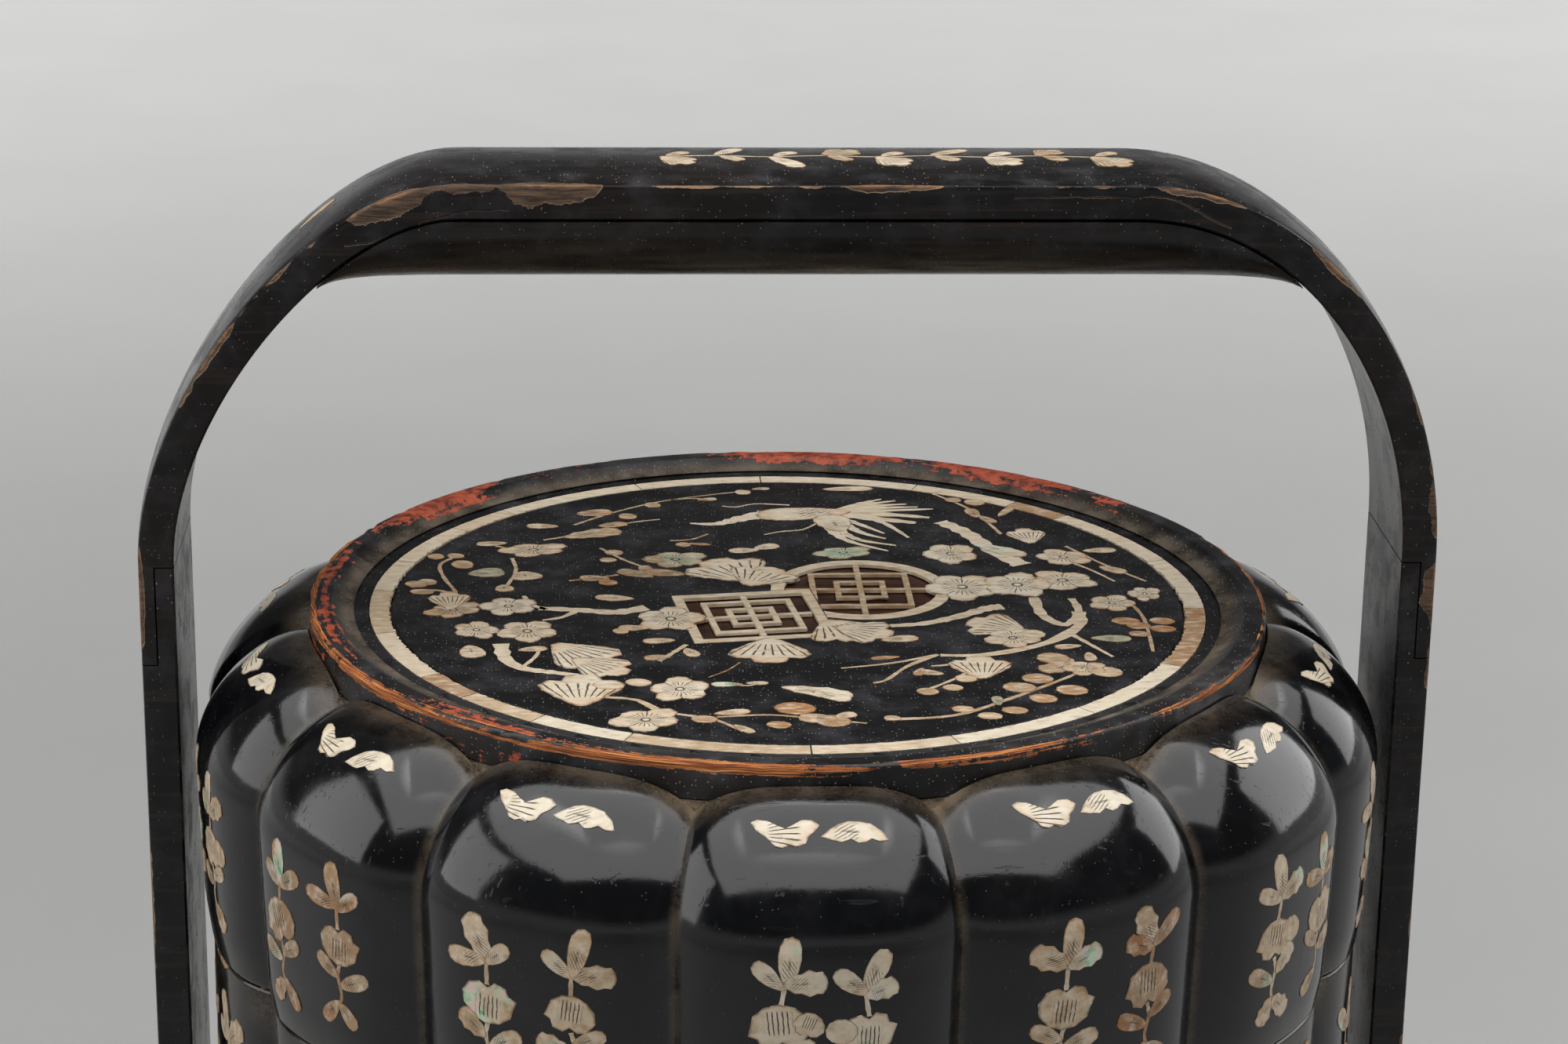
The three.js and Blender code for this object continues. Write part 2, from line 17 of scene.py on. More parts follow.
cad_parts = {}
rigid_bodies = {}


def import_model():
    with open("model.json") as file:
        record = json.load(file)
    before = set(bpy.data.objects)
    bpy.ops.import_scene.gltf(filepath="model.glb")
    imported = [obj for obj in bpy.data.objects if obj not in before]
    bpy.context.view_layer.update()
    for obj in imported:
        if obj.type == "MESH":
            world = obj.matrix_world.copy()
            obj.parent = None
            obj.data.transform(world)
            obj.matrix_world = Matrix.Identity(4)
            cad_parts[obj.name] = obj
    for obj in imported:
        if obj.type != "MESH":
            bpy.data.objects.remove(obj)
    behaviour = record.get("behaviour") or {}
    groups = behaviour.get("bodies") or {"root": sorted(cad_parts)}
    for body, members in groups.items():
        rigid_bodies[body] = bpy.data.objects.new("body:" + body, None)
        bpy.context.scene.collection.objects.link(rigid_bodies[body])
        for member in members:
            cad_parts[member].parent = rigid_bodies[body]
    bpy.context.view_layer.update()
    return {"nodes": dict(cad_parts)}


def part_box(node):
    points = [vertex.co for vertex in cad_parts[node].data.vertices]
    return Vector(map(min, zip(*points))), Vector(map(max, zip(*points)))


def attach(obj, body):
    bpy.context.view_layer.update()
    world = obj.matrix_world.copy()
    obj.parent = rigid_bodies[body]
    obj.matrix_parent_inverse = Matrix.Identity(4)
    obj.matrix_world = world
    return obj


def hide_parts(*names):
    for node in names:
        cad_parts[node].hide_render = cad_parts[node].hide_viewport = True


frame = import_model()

# %% [markdown]
# ## Sizes
#
# Blender works in metres, and the maker of the solids in millimetres, so a length is written as a
# number of millimetres times `mm`. Sizes that a solid already shows are read from its box. The
# others are the ones it was made from: how deep a groove is, how round a lobe, how thick a wall.

# %% Sizes of the basket
mm = 0.001
seat_gap = 0.3 * mm

lobes = 14
groove_depth = 6 * mm
lobe_roundness = 3.4

board_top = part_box("base_board")[1].z
lid_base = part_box("lid_shell")[0].z
rim_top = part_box("lid_rim")[1].z
panel_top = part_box("lid_panel")[1].z
hoop_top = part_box("handle_bow")[1].z
hoop_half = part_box("handle_bow")[1].x
lap_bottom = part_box("handle_bow")[0].z
grip_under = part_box("handle_grip")[0].z
tiers = ("lower_box", "middle_box", "upper_box")
box_radius = -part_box("lower_box_wall")[0].y
liner_radius = -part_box("lower_box_liner")[0].y
rim_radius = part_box("lid_rim")[1].x
panel_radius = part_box("lid_panel")[1].x

# %% [markdown]
# ## Camera
#
# The photograph looks down on the lid by 18 degrees, from a little left of the middle, through a
# long lens. The direction is kept as three angles, and the camera's own axes are worked out from
# them: forward first, then right, then up, and the small roll last.

# %% Camera
camera_place = Vector((-44.6, -783.2, 540.6)) * mm
camera_pitch = math.radians(18.055)
camera_yaw = math.radians(3.183)
camera_roll = math.radians(0.769)
photo_width = 2000
focal_pixels = 4817.0

camera_data = bpy.data.cameras.new("camera")
camera_data.sensor_width = 36.0
camera_data.lens = camera_data.sensor_width * focal_pixels / photo_width
camera_data.clip_start = 0.05
camera_data.clip_end = 60.0
camera = bpy.data.objects.new("camera", camera_data)
bpy.context.scene.collection.objects.link(camera)
forward = Vector((
    math.sin(camera_yaw) * math.cos(camera_pitch),
    math.cos(camera_yaw) * math.cos(camera_pitch),
    -math.sin(camera_pitch),
))
level_right = Vector((math.cos(camera_yaw), -math.sin(camera_yaw), 0))
level_up = level_right.cross(forward)
right = level_right * math.cos(camera_roll) + level_up * math.sin(camera_roll)
up = level_up * math.cos(camera_roll) - level_right * math.sin(camera_roll)
camera_axes = Matrix((right, up, -forward)).transposed().to_4x4()
camera.matrix_world = Matrix.Translation(camera_place) @ camera_axes
bpy.context.scene.camera = camera
print(f"lens {camera_data.lens:.1f} mm")

# %% [markdown]
# ## Sums written as Python, nodes written as a table
#
# Materials and Geometry Nodes are both trees of small boxes. Two classes keep them readable. A
# `Wire` is the output of a node: adding, multiplying or comparing wires adds the Math nodes that do
# it. A `Graph` makes any other node in one call: its kind, its settings, and what goes into it.

# %% Wires and graphs
def operator(operation, reflected=False):
    """One of Python's operators for wires; in its reflected form the wire stands on the right."""
    if reflected:
        return lambda wire, other: wire.graph.math(operation, other, wire)
    return lambda wire, other: wire.math(operation, other)


class Wire:
    """The output of a node; Python's operators on it add Math nodes."""

    __add__ = __radd__ = operator("ADD")
    __mul__ = __rmul__ = operator("MULTIPLY")
    __sub__, __rsub__ = operator("SUBTRACT"), operator("SUBTRACT", reflected=True)
    __truediv__, __rtruediv__ = operator("DIVIDE"), operator("DIVIDE", reflected=True)
    __mod__ = operator("FLOORED_MODULO")
    __pow__ = operator("POWER")
    __gt__ = operator("GREATER_THAN")
    __lt__ = operator("LESS_THAN")

    def __init__(self, graph, socket):
        self.graph = graph
        self.socket = socket

    def __abs__(self):
        return self.math("ABSOLUTE")

    def __neg__(self):
        return self.math("MULTIPLY", -1)

    def out(self, name):
        return Wire(self.graph, self.socket.node.outputs[name])

    def math(self, operation, *others):
        return self.graph.math(operation, self, *others)

    def parts(self):
        """The X, Y and Z of a vector."""
        x = self.graph.add("ShaderNodeSeparateXYZ", {}, {0: self}, "X")
        return x, x.out("Y"), x.out("Z")

    def ramp(self, *stops):
        """A colour that follows a number; a stop is a place on the ramp and its colour."""
        return self.graph.add("ShaderNodeValToRGB", {"stops": stops}, {0: self})

    def ease(self, low, high):
        """0 below low, 1 above high, and a soft turn between."""
        return self.graph.add(
            "ShaderNodeMapRange",
            {"interpolation_type": "SMOOTHSTEP"},
            {"Value": self, "From Min": low, "From Max": high},
        )


class Graph:
    """A tree of nodes that is being built."""

    def __init__(self, tree):
        self.tree = tree

    def put(self, value, socket):
        if isinstance(value, Wire):
            self.tree.links.new(value.socket, socket)
        else:
            socket.default_value = value

    def math(self, operation, *values):
        return self.add("ShaderNodeMath", {"operation": operation}, dict(enumerate(values)))

    def add(self, kind, settings, inputs, output=None):
        node = self.tree.nodes.new(kind)
        for key, value in settings.items():
            if key == "stops":
                for element in list(node.color_ramp.elements)[1:]:
                    node.color_ramp.elements.remove(element)
                elements = node.color_ramp.elements
                for number, (place, colour) in enumerate(value):
                    element = elements.new(place) if number else elements[0]
                    element.position, element.color = place, colour
            else:
                setattr(node, key, value)
        for key, value in inputs.items():
            self.put(value, node.inputs[key])
        if not node.outputs:
            return node
        if output is None:
            output = next(i for i, socket in enumerate(node.outputs) if socket.enabled)
        return Wire(self, node.outputs[output])


print("a wire can:", [name for name, value in vars(Wire).items() if callable(value)])

# %% [markdown]
# ## Stage
#
# The floor is a wide pale disc. The world is pale at the horizon and dark above it, because black
# lacquer shows mostly what it reflects. So the lamps are large boxes of cloth, close to the basket
# to keep their light off the floor in front. One hangs over the lid and gives each shoulder its
# grey patch with a clear lower edge. Two stand at the sides and light the bevels next to the
# grooves. Four more hang round about, further off, and a grid lets their light fall only on the
# floor below them. The cloth itself stays out of the picture.

# %% World and floor
bpy.context.scene.view_settings.view_transform = "Standard"

world = bpy.data.worlds.new("studio")
world.use_nodes = True
bpy.context.scene.world = world
sky = Graph(world.node_tree)
sky_height = sky.add("ShaderNodeTexCoord", {}, {}, "Generated").parts()[2]
haze, dark_above = (0.48, 0.48, 0.484, 1), (0.07, 0.07, 0.072, 1)
room = sky_height.ramp((0.0, haze), (0.05, haze), (0.18, dark_above))
sky.put(room, world.node_tree.nodes["Background"].inputs["Color"])

floor_radius = 4.4
floor_sides = 96
floor_turns = [i * 2 * math.pi / floor_sides for i in range(floor_sides)]
floor_edge = [(floor_radius * math.cos(a), floor_radius * math.sin(a), 0) for a in floor_turns]
floor_mesh = bpy.data.meshes.new("floor")
floor_mesh.from_pydata(floor_edge, [], [tuple(range(floor_sides))])
floor = bpy.data.objects.new("floor", floor_mesh)
bpy.context.scene.collection.objects.link(floor)
print("floor", 2 * floor_radius, "m across")


# %% Lamps
def softbox(name, place, target, width, height, radiance, spread=180):
    """A lamp of cloth: its power follows from its size and from how bright the cloth looks."""
    lamp = bpy.data.lights.new(name, "AREA")
    lamp.shape = "RECTANGLE"
    lamp.size, lamp.size_y = width, height
    lamp.energy = radiance * math.pi * width * height
    lamp.spread = math.radians(spread)
    holder = bpy.data.objects.new(name, lamp)
    holder.location = place
    holder.rotation_euler = (Vector(target) - Vector(place)).to_track_quat("-Z", "Y").to_euler()
    holder.visible_camera = False
    bpy.context.scene.collection.objects.link(holder)
    return holder


lid_middle = (0, 0, 0.26)
softbox("overhead_softbox", (0.0, -0.2, 0.68), (0.0, -0.2, 0.26), 0.96, 0.66, 2.5)
softbox("left_softbox", (-0.95, -0.12, 0.62), lid_middle, 0.72, 0.62, 2.6)
softbox("right_softbox", (0.9, 0.35, 0.62), lid_middle, 0.72, 0.62, 2.9)
floor_box_reach, floor_box_height = 2.7, 2.6
floor_box_long, floor_box_short, floor_box_grid = 5.6, 3.4, 60
floor_boxes = {
    # the side it stands on, as x and y, and its radiance
    "front": (0, -1, 0.45),
    "back": (0, 1, 1.35),
    "left": (-1, 0, 1.2),
    "right": (1, 0, 1.2),
}
for name, (x, y, radiance) in floor_boxes.items():
    spot = (x * floor_box_reach, y * floor_box_reach)
    place, target = (*spot, floor_box_height), (*spot, 0.0)
    size = (floor_box_long, floor_box_short) if y else (floor_box_short, floor_box_long)
    grid = softbox(f"floor_softbox_{name}", place, target, *size, radiance, floor_box_grid)
    grid.rotation_euler = (0, 0, 0)

# %% [markdown]
# ## Materials: where they read their patterns
#
# Every pattern lies in the object's own coordinates, in metres, so it stays put when a box is
# lifted. Where a pattern has to follow the wood or a single chip of shell, the mesh carries it as a
# UV map or as an attribute: how deep in a groove a point lies, how near an edge.

# %% Helpers that all finishes share
def paint(red, green, blue):
    """A colour as it looks on a screen, from 0 to 255, turned into the linear light of shaders."""
    shares = [value / 255 for value in (red, green, blue)]
    return (*[s / 12.92 if s <= 0.04045 else ((s + 0.055) / 1.055) ** 2.4 for s in shares], 1.0)


def start_finish(name, sheen_level):
    material = bpy.data.materials.new(name)
    material.use_nodes = True
    surface = material.node_tree.nodes["Principled BSDF"]
    surface.inputs["Specular IOR Level"].default_value = sheen_level
    graph = Graph(material.node_tree)
    return material, graph, graph.add("ShaderNodeTexCoord", {}, {}, "Object")


def carried(graph, name):
    """A number that the mesh carries at each point."""
    return graph.add("ShaderNodeAttribute", {"attribute_name": name}, {}, "Fac")


def noise(place, scale, detail=3.0, roughness=0.5):
    inputs = {"Vector": place, "Scale": scale, "Detail": detail, "Roughness": roughness}
    return place.graph.add("ShaderNodeTexNoise", {}, inputs, "Fac")


def fibres(place, scales, detail, roughness=0.5):
    """Noise with a scale of its own along each axis, drawn out where the scale is small."""
    graph = place.graph
    drawn = graph.add("ShaderNodeVectorMath", {"operation": "MULTIPLY"}, {0: place, 1: scales})
    return noise(drawn, 1.0, detail, roughness)


def blend(share, first, second):
    """The first colour where the share is 0, and the second where it is 1."""
    inputs = {0: share, 6: first, 7: second}
    return share.graph.add("ShaderNodeMix", {"data_type": "RGBA"}, inputs, 2)


def close_finish(graph, colour, roughness, relief, depth):
    """Joins a finish to its shader; relief runs from 0 to 1, and depth is its size in metres."""
    surface = graph.tree.nodes["Principled BSDF"]
    graph.put(colour, surface.inputs["Base Color"])
    graph.put(roughness, surface.inputs["Roughness"])
    bump = graph.add("ShaderNodeBump", {}, {"Strength": 1.0, "Distance": depth, "Height": relief})
    graph.put(bump, surface.inputs["Normal"])
    print(len(graph.tree.nodes), "nodes in the finish")


# %% [markdown]
# ## Lacquer
#
# The black is not paint but many rubbed coats of lacquer, so it is deep, a little wavy, and
# polished. Age shows as a film of dust, pale specks, hair scratches, and brown dirt that nobody can
# wipe out of the grooves. All of that is one set of layers, used again with other amounts on the
# hoop, the panel and the stand.

# %% Layers of old lacquer
def lacquer_layers(place, body, worn, polish, dustiness, grime):
    """Colour, roughness and relief of handled lacquer. Grime fills the grooves."""
    graph = place.graph
    wave = noise(place, 22.0, 2.0)
    cloud = noise(place, 110.0, 4.0, 0.6)
    grain = noise(place, 1500.0, 2.0)
    groove = carried(graph, "groove")
    stain = carried(graph, "stain")

    specks = []
    for scale, size, rarity in ((620.0, 0.1, 0.9), (1300.0, 0.2, 1 - 0.16 * dustiness)):
        cells = graph.add("ShaderNodeTexVoronoi", {}, {"Vector": place, "Scale": scale}, "Distance")
        chance = graph.add("ShaderNodeSeparateColor", {}, {0: cells.out("Color")}, "Red")
        specks.append((cells < size) * (chance > rarity))
    specks = specks[0] + specks[1]

    hairs = fibres(place, (40.0, 900.0, 900.0), 1.0)
    cross_hairs = fibres(place, (800.0, 800.0, 30.0), 1.0)
    scratches = hairs.ease(0.69, 0.74) + cross_hairs.ease(0.7, 0.75)

    settled = carried(graph, "dust")
    film = cloud.ease(0.4, 0.8) * dustiness * (0.6 + settled * 0.6)
    in_groove = groove.ease(0.8, 1.0) * 0.22 + stain * (0.5 + groove.ease(0.1, 0.7) * 0.9)
    dirt = in_groove * (cloud + grain * 0.6).ease(0.45, 0.95) * grime
    dirt = dirt.math("MINIMUM", 1.0)

    colour = blend(wave.ease(0.35, 0.8), body, worn)
    colour = blend(film * 0.07, colour, paint(150, 150, 158))
    colour = blend(specks * (dustiness * 0.22 + settled * 0.3), colour, paint(176, 170, 160))
    soil = blend(cloud, paint(84, 70, 56), paint(166, 146, 118))
    colour = blend(dirt * 0.9, colour, soil)

    roughness = cloud * 0.05 + scratches * 0.12 + film * 0.22 + specks * 0.3 + dirt * 0.5 + polish
    relief = wave * 0.8 + cloud * 0.05 + grain * 0.006 + specks * 0.05 + dirt * 0.07
    return colour, roughness, relief - scratches * 0.012


relief_depth = 0.7 * mm

# %% Black lacquer of the lid, the boxes and the stand
black_lacquer, graph, place = start_finish("black_lacquer", 0.47)
body, worn = paint(7, 8, 10), paint(12, 11, 11)
colour, roughness, relief = lacquer_layers(place, body, worn, 0.08, 0.4, 1.0)
# Where one box stands on another their edges have rubbed and chipped.
rub_reach, rub_wander, rub_edge = 1.5 * mm, 1.8 * mm, 0.1 * mm
height = place.parts()[2]
lower, middle, upper = [abs(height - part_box(f"{tier}_wall")[1].z) for tier in tiers]
from_seam = lower.math("MINIMUM", middle).math("MINIMUM", upper)
ragged = noise(place, 300.0, 5.0, 0.65)
patchy = noise(place, 38.0, 2.0)
rubbed = patchy.ease(0.5, 0.68) * rub_reach - from_seam + (ragged - 0.5) * rub_wander
rubbed = rubbed.ease(0.0, rub_edge)
worn_wood = blend(ragged.ease(0.5, 0.62), paint(70, 50, 38), paint(164, 132, 98))
colour = blend(rubbed, colour, worn_wood)
roughness = roughness * (1 - rubbed) + rubbed * 0.7
close_finish(graph, colour, roughness, relief - rubbed * 0.25, relief_depth)

# %% Panel lacquer
# The two plaques have a ground of dark red-brown wood behind their frets.
square_middle, square_turn, square_reach = (-8 * mm, -9.7 * mm), math.radians(8), 13.6 * mm
round_middle, round_reach = (16.6 * mm, 7.6 * mm), 17.2 * mm

panel_lacquer, graph, place = start_finish("panel_lacquer", 0.3)
body, worn = paint(10, 10, 11), paint(17, 16, 17)
colour, roughness, relief = lacquer_layers(place, body, worn, 0.28, 1.7, 0.6)
x, y, z = place.parts()
side_x, side_y = x - square_middle[0], y - square_middle[1]
across = abs(side_x * math.cos(square_turn) + side_y * math.sin(square_turn))
along = abs(side_y * math.cos(square_turn) - side_x * math.sin(square_turn))
in_square = across.math("MAXIMUM", along) < square_reach
away_x, away_y = x - round_middle[0], y - round_middle[1]
in_round = (away_x * away_x + away_y * away_y).math("SQRT") < round_reach
grain = fibres(place, (160.0, 900.0, 160.0), 4.0, 0.6)
brown = blend(grain.ease(0.3, 0.7), paint(34, 20, 15), paint(66, 38, 26))
colour = blend(in_square.math("MAXIMUM", in_round), colour, brown)
close_finish(graph, colour, roughness, relief, relief_depth)

# %% Red lacquer of the liners and floors
red_lacquer, graph, place = start_finish("red_lacquer", 0.4)
layers = lacquer_layers(place, paint(112, 30, 20), paint(70, 22, 17), 0.35, 0.5, 0.8)
close_finish(graph, *layers, relief_depth)
print("lacquers:", [m.name for m in bpy.data.materials if "lacquer" in m.name])

# %% [markdown]
# The hoop is handled most. Its arrises have lost their lacquer in chips that show a cream ground
# layer and brown wood under it, and cracks run where the grip ends. Right at the arris the wood
# is a bright orange, partly fresh wood and partly a painted highlight, and a thin tan band along
# each crack is a painted highlight on its edge. The mesh says how far each point is from an arris
# and how far the chips reach there. A crack is worked out from the place itself. Noise makes them
# all ragged.

# %% Hoop lacquer with chipped arrises
hoop_lacquer, graph, place = start_finish("hoop_lacquer", 0.3)
body, worn = paint(11, 10, 10), paint(24, 19, 16)
colour, roughness, relief = lacquer_layers(place, body, worn, 0.2, 0.9, 0.7)
ragged = noise(place, 210.0, 5.0, 0.65)
patchy = noise(place, 60.0, 2.0)
streaks = fibres(place, (24.0, 620.0, 620.0), 4.0, 0.6)
colour = blend(streaks.ease(0.5, 0.72) * 0.5, colour, paint(44, 35, 30))
arris = carried(graph, "arris")
reach = carried(graph, "reach")
depth_in = reach * (patchy.ease(0.38, 0.62) * 0.75 + 0.25) - arris + (ragged - 0.5) * reach * 1.4
broken = depth_in.ease(0.0, 0.12 * mm) * (reach > 0.15 * mm)
inner = depth_in.ease(0.06 * mm, 0.3 * mm)
wood_grain = fibres(place, (150.0, 1700.0, 1700.0), 4.0, 0.7)
wood = blend(wood_grain.ease(0.3, 0.7), paint(38, 29, 23), paint(100, 79, 62))
# Right at the arris the wood is a bright orange: partly fresh wood, partly a painted highlight
# where the edge catches the light.
fresh_wood_and_highlight = (1 - arris.ease(0.1 * mm, 0.8 * mm)) * patchy.ease(0.45, 0.6) * ragged.ease(0.42, 0.56)
wood = blend(fresh_wood_and_highlight, wood, paint(170, 116, 72))
ground = blend(patchy.ease(0.4, 0.6), paint(84, 66, 52), paint(150, 124, 94))
colour = blend(broken, colour, blend(inner, ground, wood))
# Each crack runs along the front face and steps up or down once: its ends, its height, its step.
cracks = (
    (45 * mm, 91 * mm, 361.8 * mm, 76 * mm, 92 * mm, -6.5 * mm),
    (-94 * mm, -60 * mm, 351.5 * mm, -94 * mm, -66 * mm, 7.5 * mm),
)
front_face = -18.3 * mm
crack_wander = 1.6 * mm
x, y, z = place.parts()
crack = 1.0
for start, end, level, step_start, step_end, step_up in cracks:
    away = abs(z - x.ease(step_start, step_end) * step_up - level + (ragged - 0.5) * crack_wander)
    crack = (away + (x < start) + (x > end) + (y > front_face)).math("MINIMUM", crack)
line = 1 - crack.ease(0.05 * mm, 0.16 * mm)
# A thin tan band along each crack is a painted highlight on the crack's edge.
crack_highlight = crack.ease(0.05 * mm, 0.1 * mm) - crack.ease(0.14 * mm, 0.26 * mm)
crack_highlight = crack_highlight * patchy.ease(0.4, 0.5)
colour = blend(crack_highlight * 0.7, colour, paint(126, 100, 78))
colour = blend(line, colour, paint(4, 3, 3))
roughness = roughness * (1 - broken) + broken * 0.75
relief = relief - broken * 0.35 - inner * (0.25 - wood_grain * 0.2) - line * 0.35
close_finish(graph, colour, roughness, relief, relief_depth)

# %% [markdown]
# The bent rim round the panel is the most worn piece. Under its broken black lies a vermilion coat,
# and at the outside the wood itself has split into orange fibres that run round the rim. The UV map
# of the rim is its length round and its way across, in metres, so the fibres can follow the wood.

# %% Rim finish: black, vermilion and split wood
rim_lacquer, graph, place = start_finish("rim_lacquer", 0.4)
body, worn = paint(13, 12, 12), paint(36, 30, 26)
colour, roughness, relief = lacquer_layers(place, body, worn, 0.32, 2.0, 1.2)
along = graph.add("ShaderNodeTexCoord", {}, {}, "UV")
fibre = fibres(along, (70.0, 2600.0, 1.0), 4.0, 0.65)
streak = fibres(along, (28.0, 700.0, 1.0), 3.0)
ragged = noise(place, 330.0, 5.0, 0.7)
bare = (carried(graph, "splinter") + (streak - 0.5) * 1.3 + (ragged - 0.5) * 0.7).ease(0.47, 0.54)
coat = (carried(graph, "vermilion") + (streak - 0.5) * 1.1 + (ragged - 0.5) * 1.3).ease(0.48, 0.54)
wood = fibre.ramp(
    (0.3, paint(34, 18, 12)),
    (0.44, paint(112, 56, 26)),
    (0.55, paint(184, 106, 48)),
    (0.7, paint(226, 168, 98)),
)
red_coat = blend(ragged.ease(0.35, 0.65), paint(92, 34, 22), paint(164, 74, 44))
colour = blend(coat, colour, red_coat)
colour = blend(bare, colour, wood)
roughness = roughness * (1 - bare) + bare * 0.7 + coat * 0.15
relief = relief - coat * 0.18 - bare * (0.45 - fibre * 0.75)
close_finish(graph, colour, roughness, relief, relief_depth)

# %% Bare wood of the pegs
bare_wood, graph, place = start_finish("bare_wood", 0.3)
rings = fibres(place, (90.0, 1600.0, 1600.0), 4.0, 0.6)
colour = blend(rings.ease(0.3, 0.7), paint(96, 60, 32), paint(158, 112, 66))
close_finish(graph, colour, rings * 0.2 + 0.55, rings, 0.15 * mm)

# %% [markdown]
# ## Mother-of-pearl
#
# The shell is cream with tan and rosy pieces among it, and some turn green or pink where the light
# catches their layers. Each chip carries its own tint. Its layers show as fine streaks along the
# chip; the pale streaks are partly the layers' own colour and partly a painted highlight. The
# colours of the layers are faint bands, painted, not worked out from the view, so they stay when
# the object turns. The cutter's lines are engraved: rays on a blossom, ribs on a leaf, hatching on
# a bud or a fan. The UV map of a chip runs from 0 to 1 across it, and its `carving` says which of
# these lines it has, if any.

# %% Mother-of-pearl
carvings = {"plain": 0, "blossom": 1, "leaf": 2, "bud": 3, "fan": 4}

mother_of_pearl, graph, place = start_finish("mother_of_pearl", 0.45)
tint = carried(graph, "tint")
carving = carried(graph, "carving")
edge = carried(graph, "edge")
uv = graph.add("ShaderNodeTexCoord", {}, {}, "UV")
u, v = (part * 2 - 1 for part in uv.parts()[:2])
from_middle = (u * u + v * v).math("SQRT")
turn = v.math("ARCTAN2", u)
wobble = noise(place, 520.0, 3.0)
layers = fibres(place, (260.0, 700.0, 420.0), 3.0, 0.6)
bands = noise(place, 75.0, 2.0)


# %% Lines that the cutter engraved
def is_carving(name):
    return 1 - abs(carving - carvings[name]).ease(0.2, 0.4)


def comb(value, count, line):
    """1 on evenly spaced lines across a value, 0 between them."""
    place_in = abs((value * count).math("FRACT") - 0.5)
    return 1 - place_in.ease(line * 0.6, line)


def only(value, full, none):
    """1 where a value is under full, and 0 where it is over none."""
    return 1 - value.ease(full, none)


round_share = turn / (2 * math.pi)
rays = comb(round_share + wobble * 0.02, 22, 0.13)
rays = rays * from_middle.ease(0.16, 0.2) * only(from_middle, 0.5, 0.62)
heart = only(abs(from_middle - 0.13), 0.02, 0.05)
seams = comb(round_share + wobble * 0.04 + 0.08, 5, 0.03)
seams = seams * from_middle.ease(0.3, 0.35) * only(from_middle, 0.8, 0.86)
ribs = comb(u * 0.5 - v * 0.7 + wobble * 0.08, 11, 0.16)
ribs = ribs * only(abs(v), 0.2, 0.3) * only(abs(u + 0.25), 0.3, 0.4)
midrib = only(abs(v), 0.02, 0.05) * u.ease(-0.5, -0.2) * only(u, 0.0, 0.3) * 0.6
hatch = comb(u * 0.5 + wobble * 0.06, 13, 0.17)
hatch = hatch * only(abs(u), 0.35, 0.5) * only(abs(v + 0.15), 0.35, 0.5)
fan_turn = v.math("ARCTAN2", u + 1.25)
fans = comb(fan_turn * 0.5 + wobble * 0.02, 14, 0.14) * u.ease(-0.55, -0.4) * only(u, 0.3, 0.5)
cut = (rays + heart + seams * 0.8) * is_carving("blossom")
cut = cut + (ribs * 0.8 + midrib) * is_carving("leaf")
cut = (cut + hatch * is_carving("bud") + fans * is_carving("fan")) * wobble.ease(0.3, 0.42)
cut = cut.math("MINIMUM", 1.0)

# %% Colours of the shell
shell = (tint + (bands - 0.5) * 0.3).ramp(
    (0.0, paint(200, 188, 166)),
    (0.42, paint(182, 160, 131)),
    (0.6, paint(158, 134, 104)),
    (0.78, paint(146, 102, 62)),
    (0.9, paint(142, 122, 92)),
    (1.0, paint(146, 166, 142)),
)
fire = bands.ease(0.5, 0.62) * carried(graph, "fire")
play = layers.ramp(
    (0.3, paint(104, 190, 150)),
    (0.5, paint(190, 214, 190)),
    (0.62, paint(216, 150, 160)),
    (0.75, paint(120, 180, 200)),
)
colour = blend(edge.ease(0.3, 1.0) * bands.ease(0.42, 0.6) * 0.45, shell, paint(188, 140, 92))
colour = blend(fire * 0.8, colour, play)
# Pale streaks along the layers: partly the shell's own paler layers, partly a painted highlight.
colour = blend(layers.ease(0.45, 0.72) * 0.5, colour, paint(220, 211, 194))
colour = blend((1 - layers.ease(0.25, 0.48)) * 0.5, colour, paint(114, 90, 68))
colour = blend(edge.ease(0.84, 1.0) * wobble.ease(0.3, 0.6) * 0.8, colour, paint(70, 36, 22))
colour = blend(cut * 0.9, colour, paint(34, 24, 16))
roughness = wobble * 0.12 + cut * 0.3 + 0.33
relief = layers * 0.12 + wobble * 0.1 - cut * 0.6
close_finish(graph, colour, roughness, relief, 0.12 * mm)

# %% Floor finish
floor_paper, graph, place = start_finish("floor_paper", 0.15)
fleck = noise(place, 9.0, 3.0)
colour = blend(fleck, paint(172, 172, 171), paint(178, 178, 177))
close_finish(graph, colour, fleck * 0.1 + 0.7, fleck, 0.2 * mm)
floor.data.materials.append(floor_paper)

# %% [markdown]
# ## Turning lobed forms
#
# Lid, boxes, board and foot share one outline: fourteen lobes with a sharp groove between them. A
# turner cannot make it, so the wood is carved after turning, and the same two steps make the mesh.
# An outline of radius and height is turned about the upright axis, and then a rule draws every
# point in towards the groove it is near. The rule gives 0 on a lobe's crown and 1 in the groove.
# Geometry Nodes are fit for it, because one tree with a few named inputs makes all of these pieces
# from their outlines. Each outline point also carries how far a groove pulls it in and down, and
# how dirty it is.

# %% Helpers for Geometry Nodes
def geometry_tree(name, inputs):
    """A new tree with geometry in and out, and its named inputs as wires."""
    tree = bpy.data.node_groups.new(name, "GeometryNodeTree")
    tree.interface.new_socket("Geometry", in_out="INPUT", socket_type="NodeSocketGeometry")
    tree.interface.new_socket("Geometry", in_out="OUTPUT", socket_type="NodeSocketGeometry")
    for label, kind in inputs.items():
        tree.interface.new_socket(label, in_out="INPUT", socket_type=kind)
    graph = Graph(tree)
    entry = graph.add("NodeGroupInput", {}, {}, "Geometry")
    return graph, entry


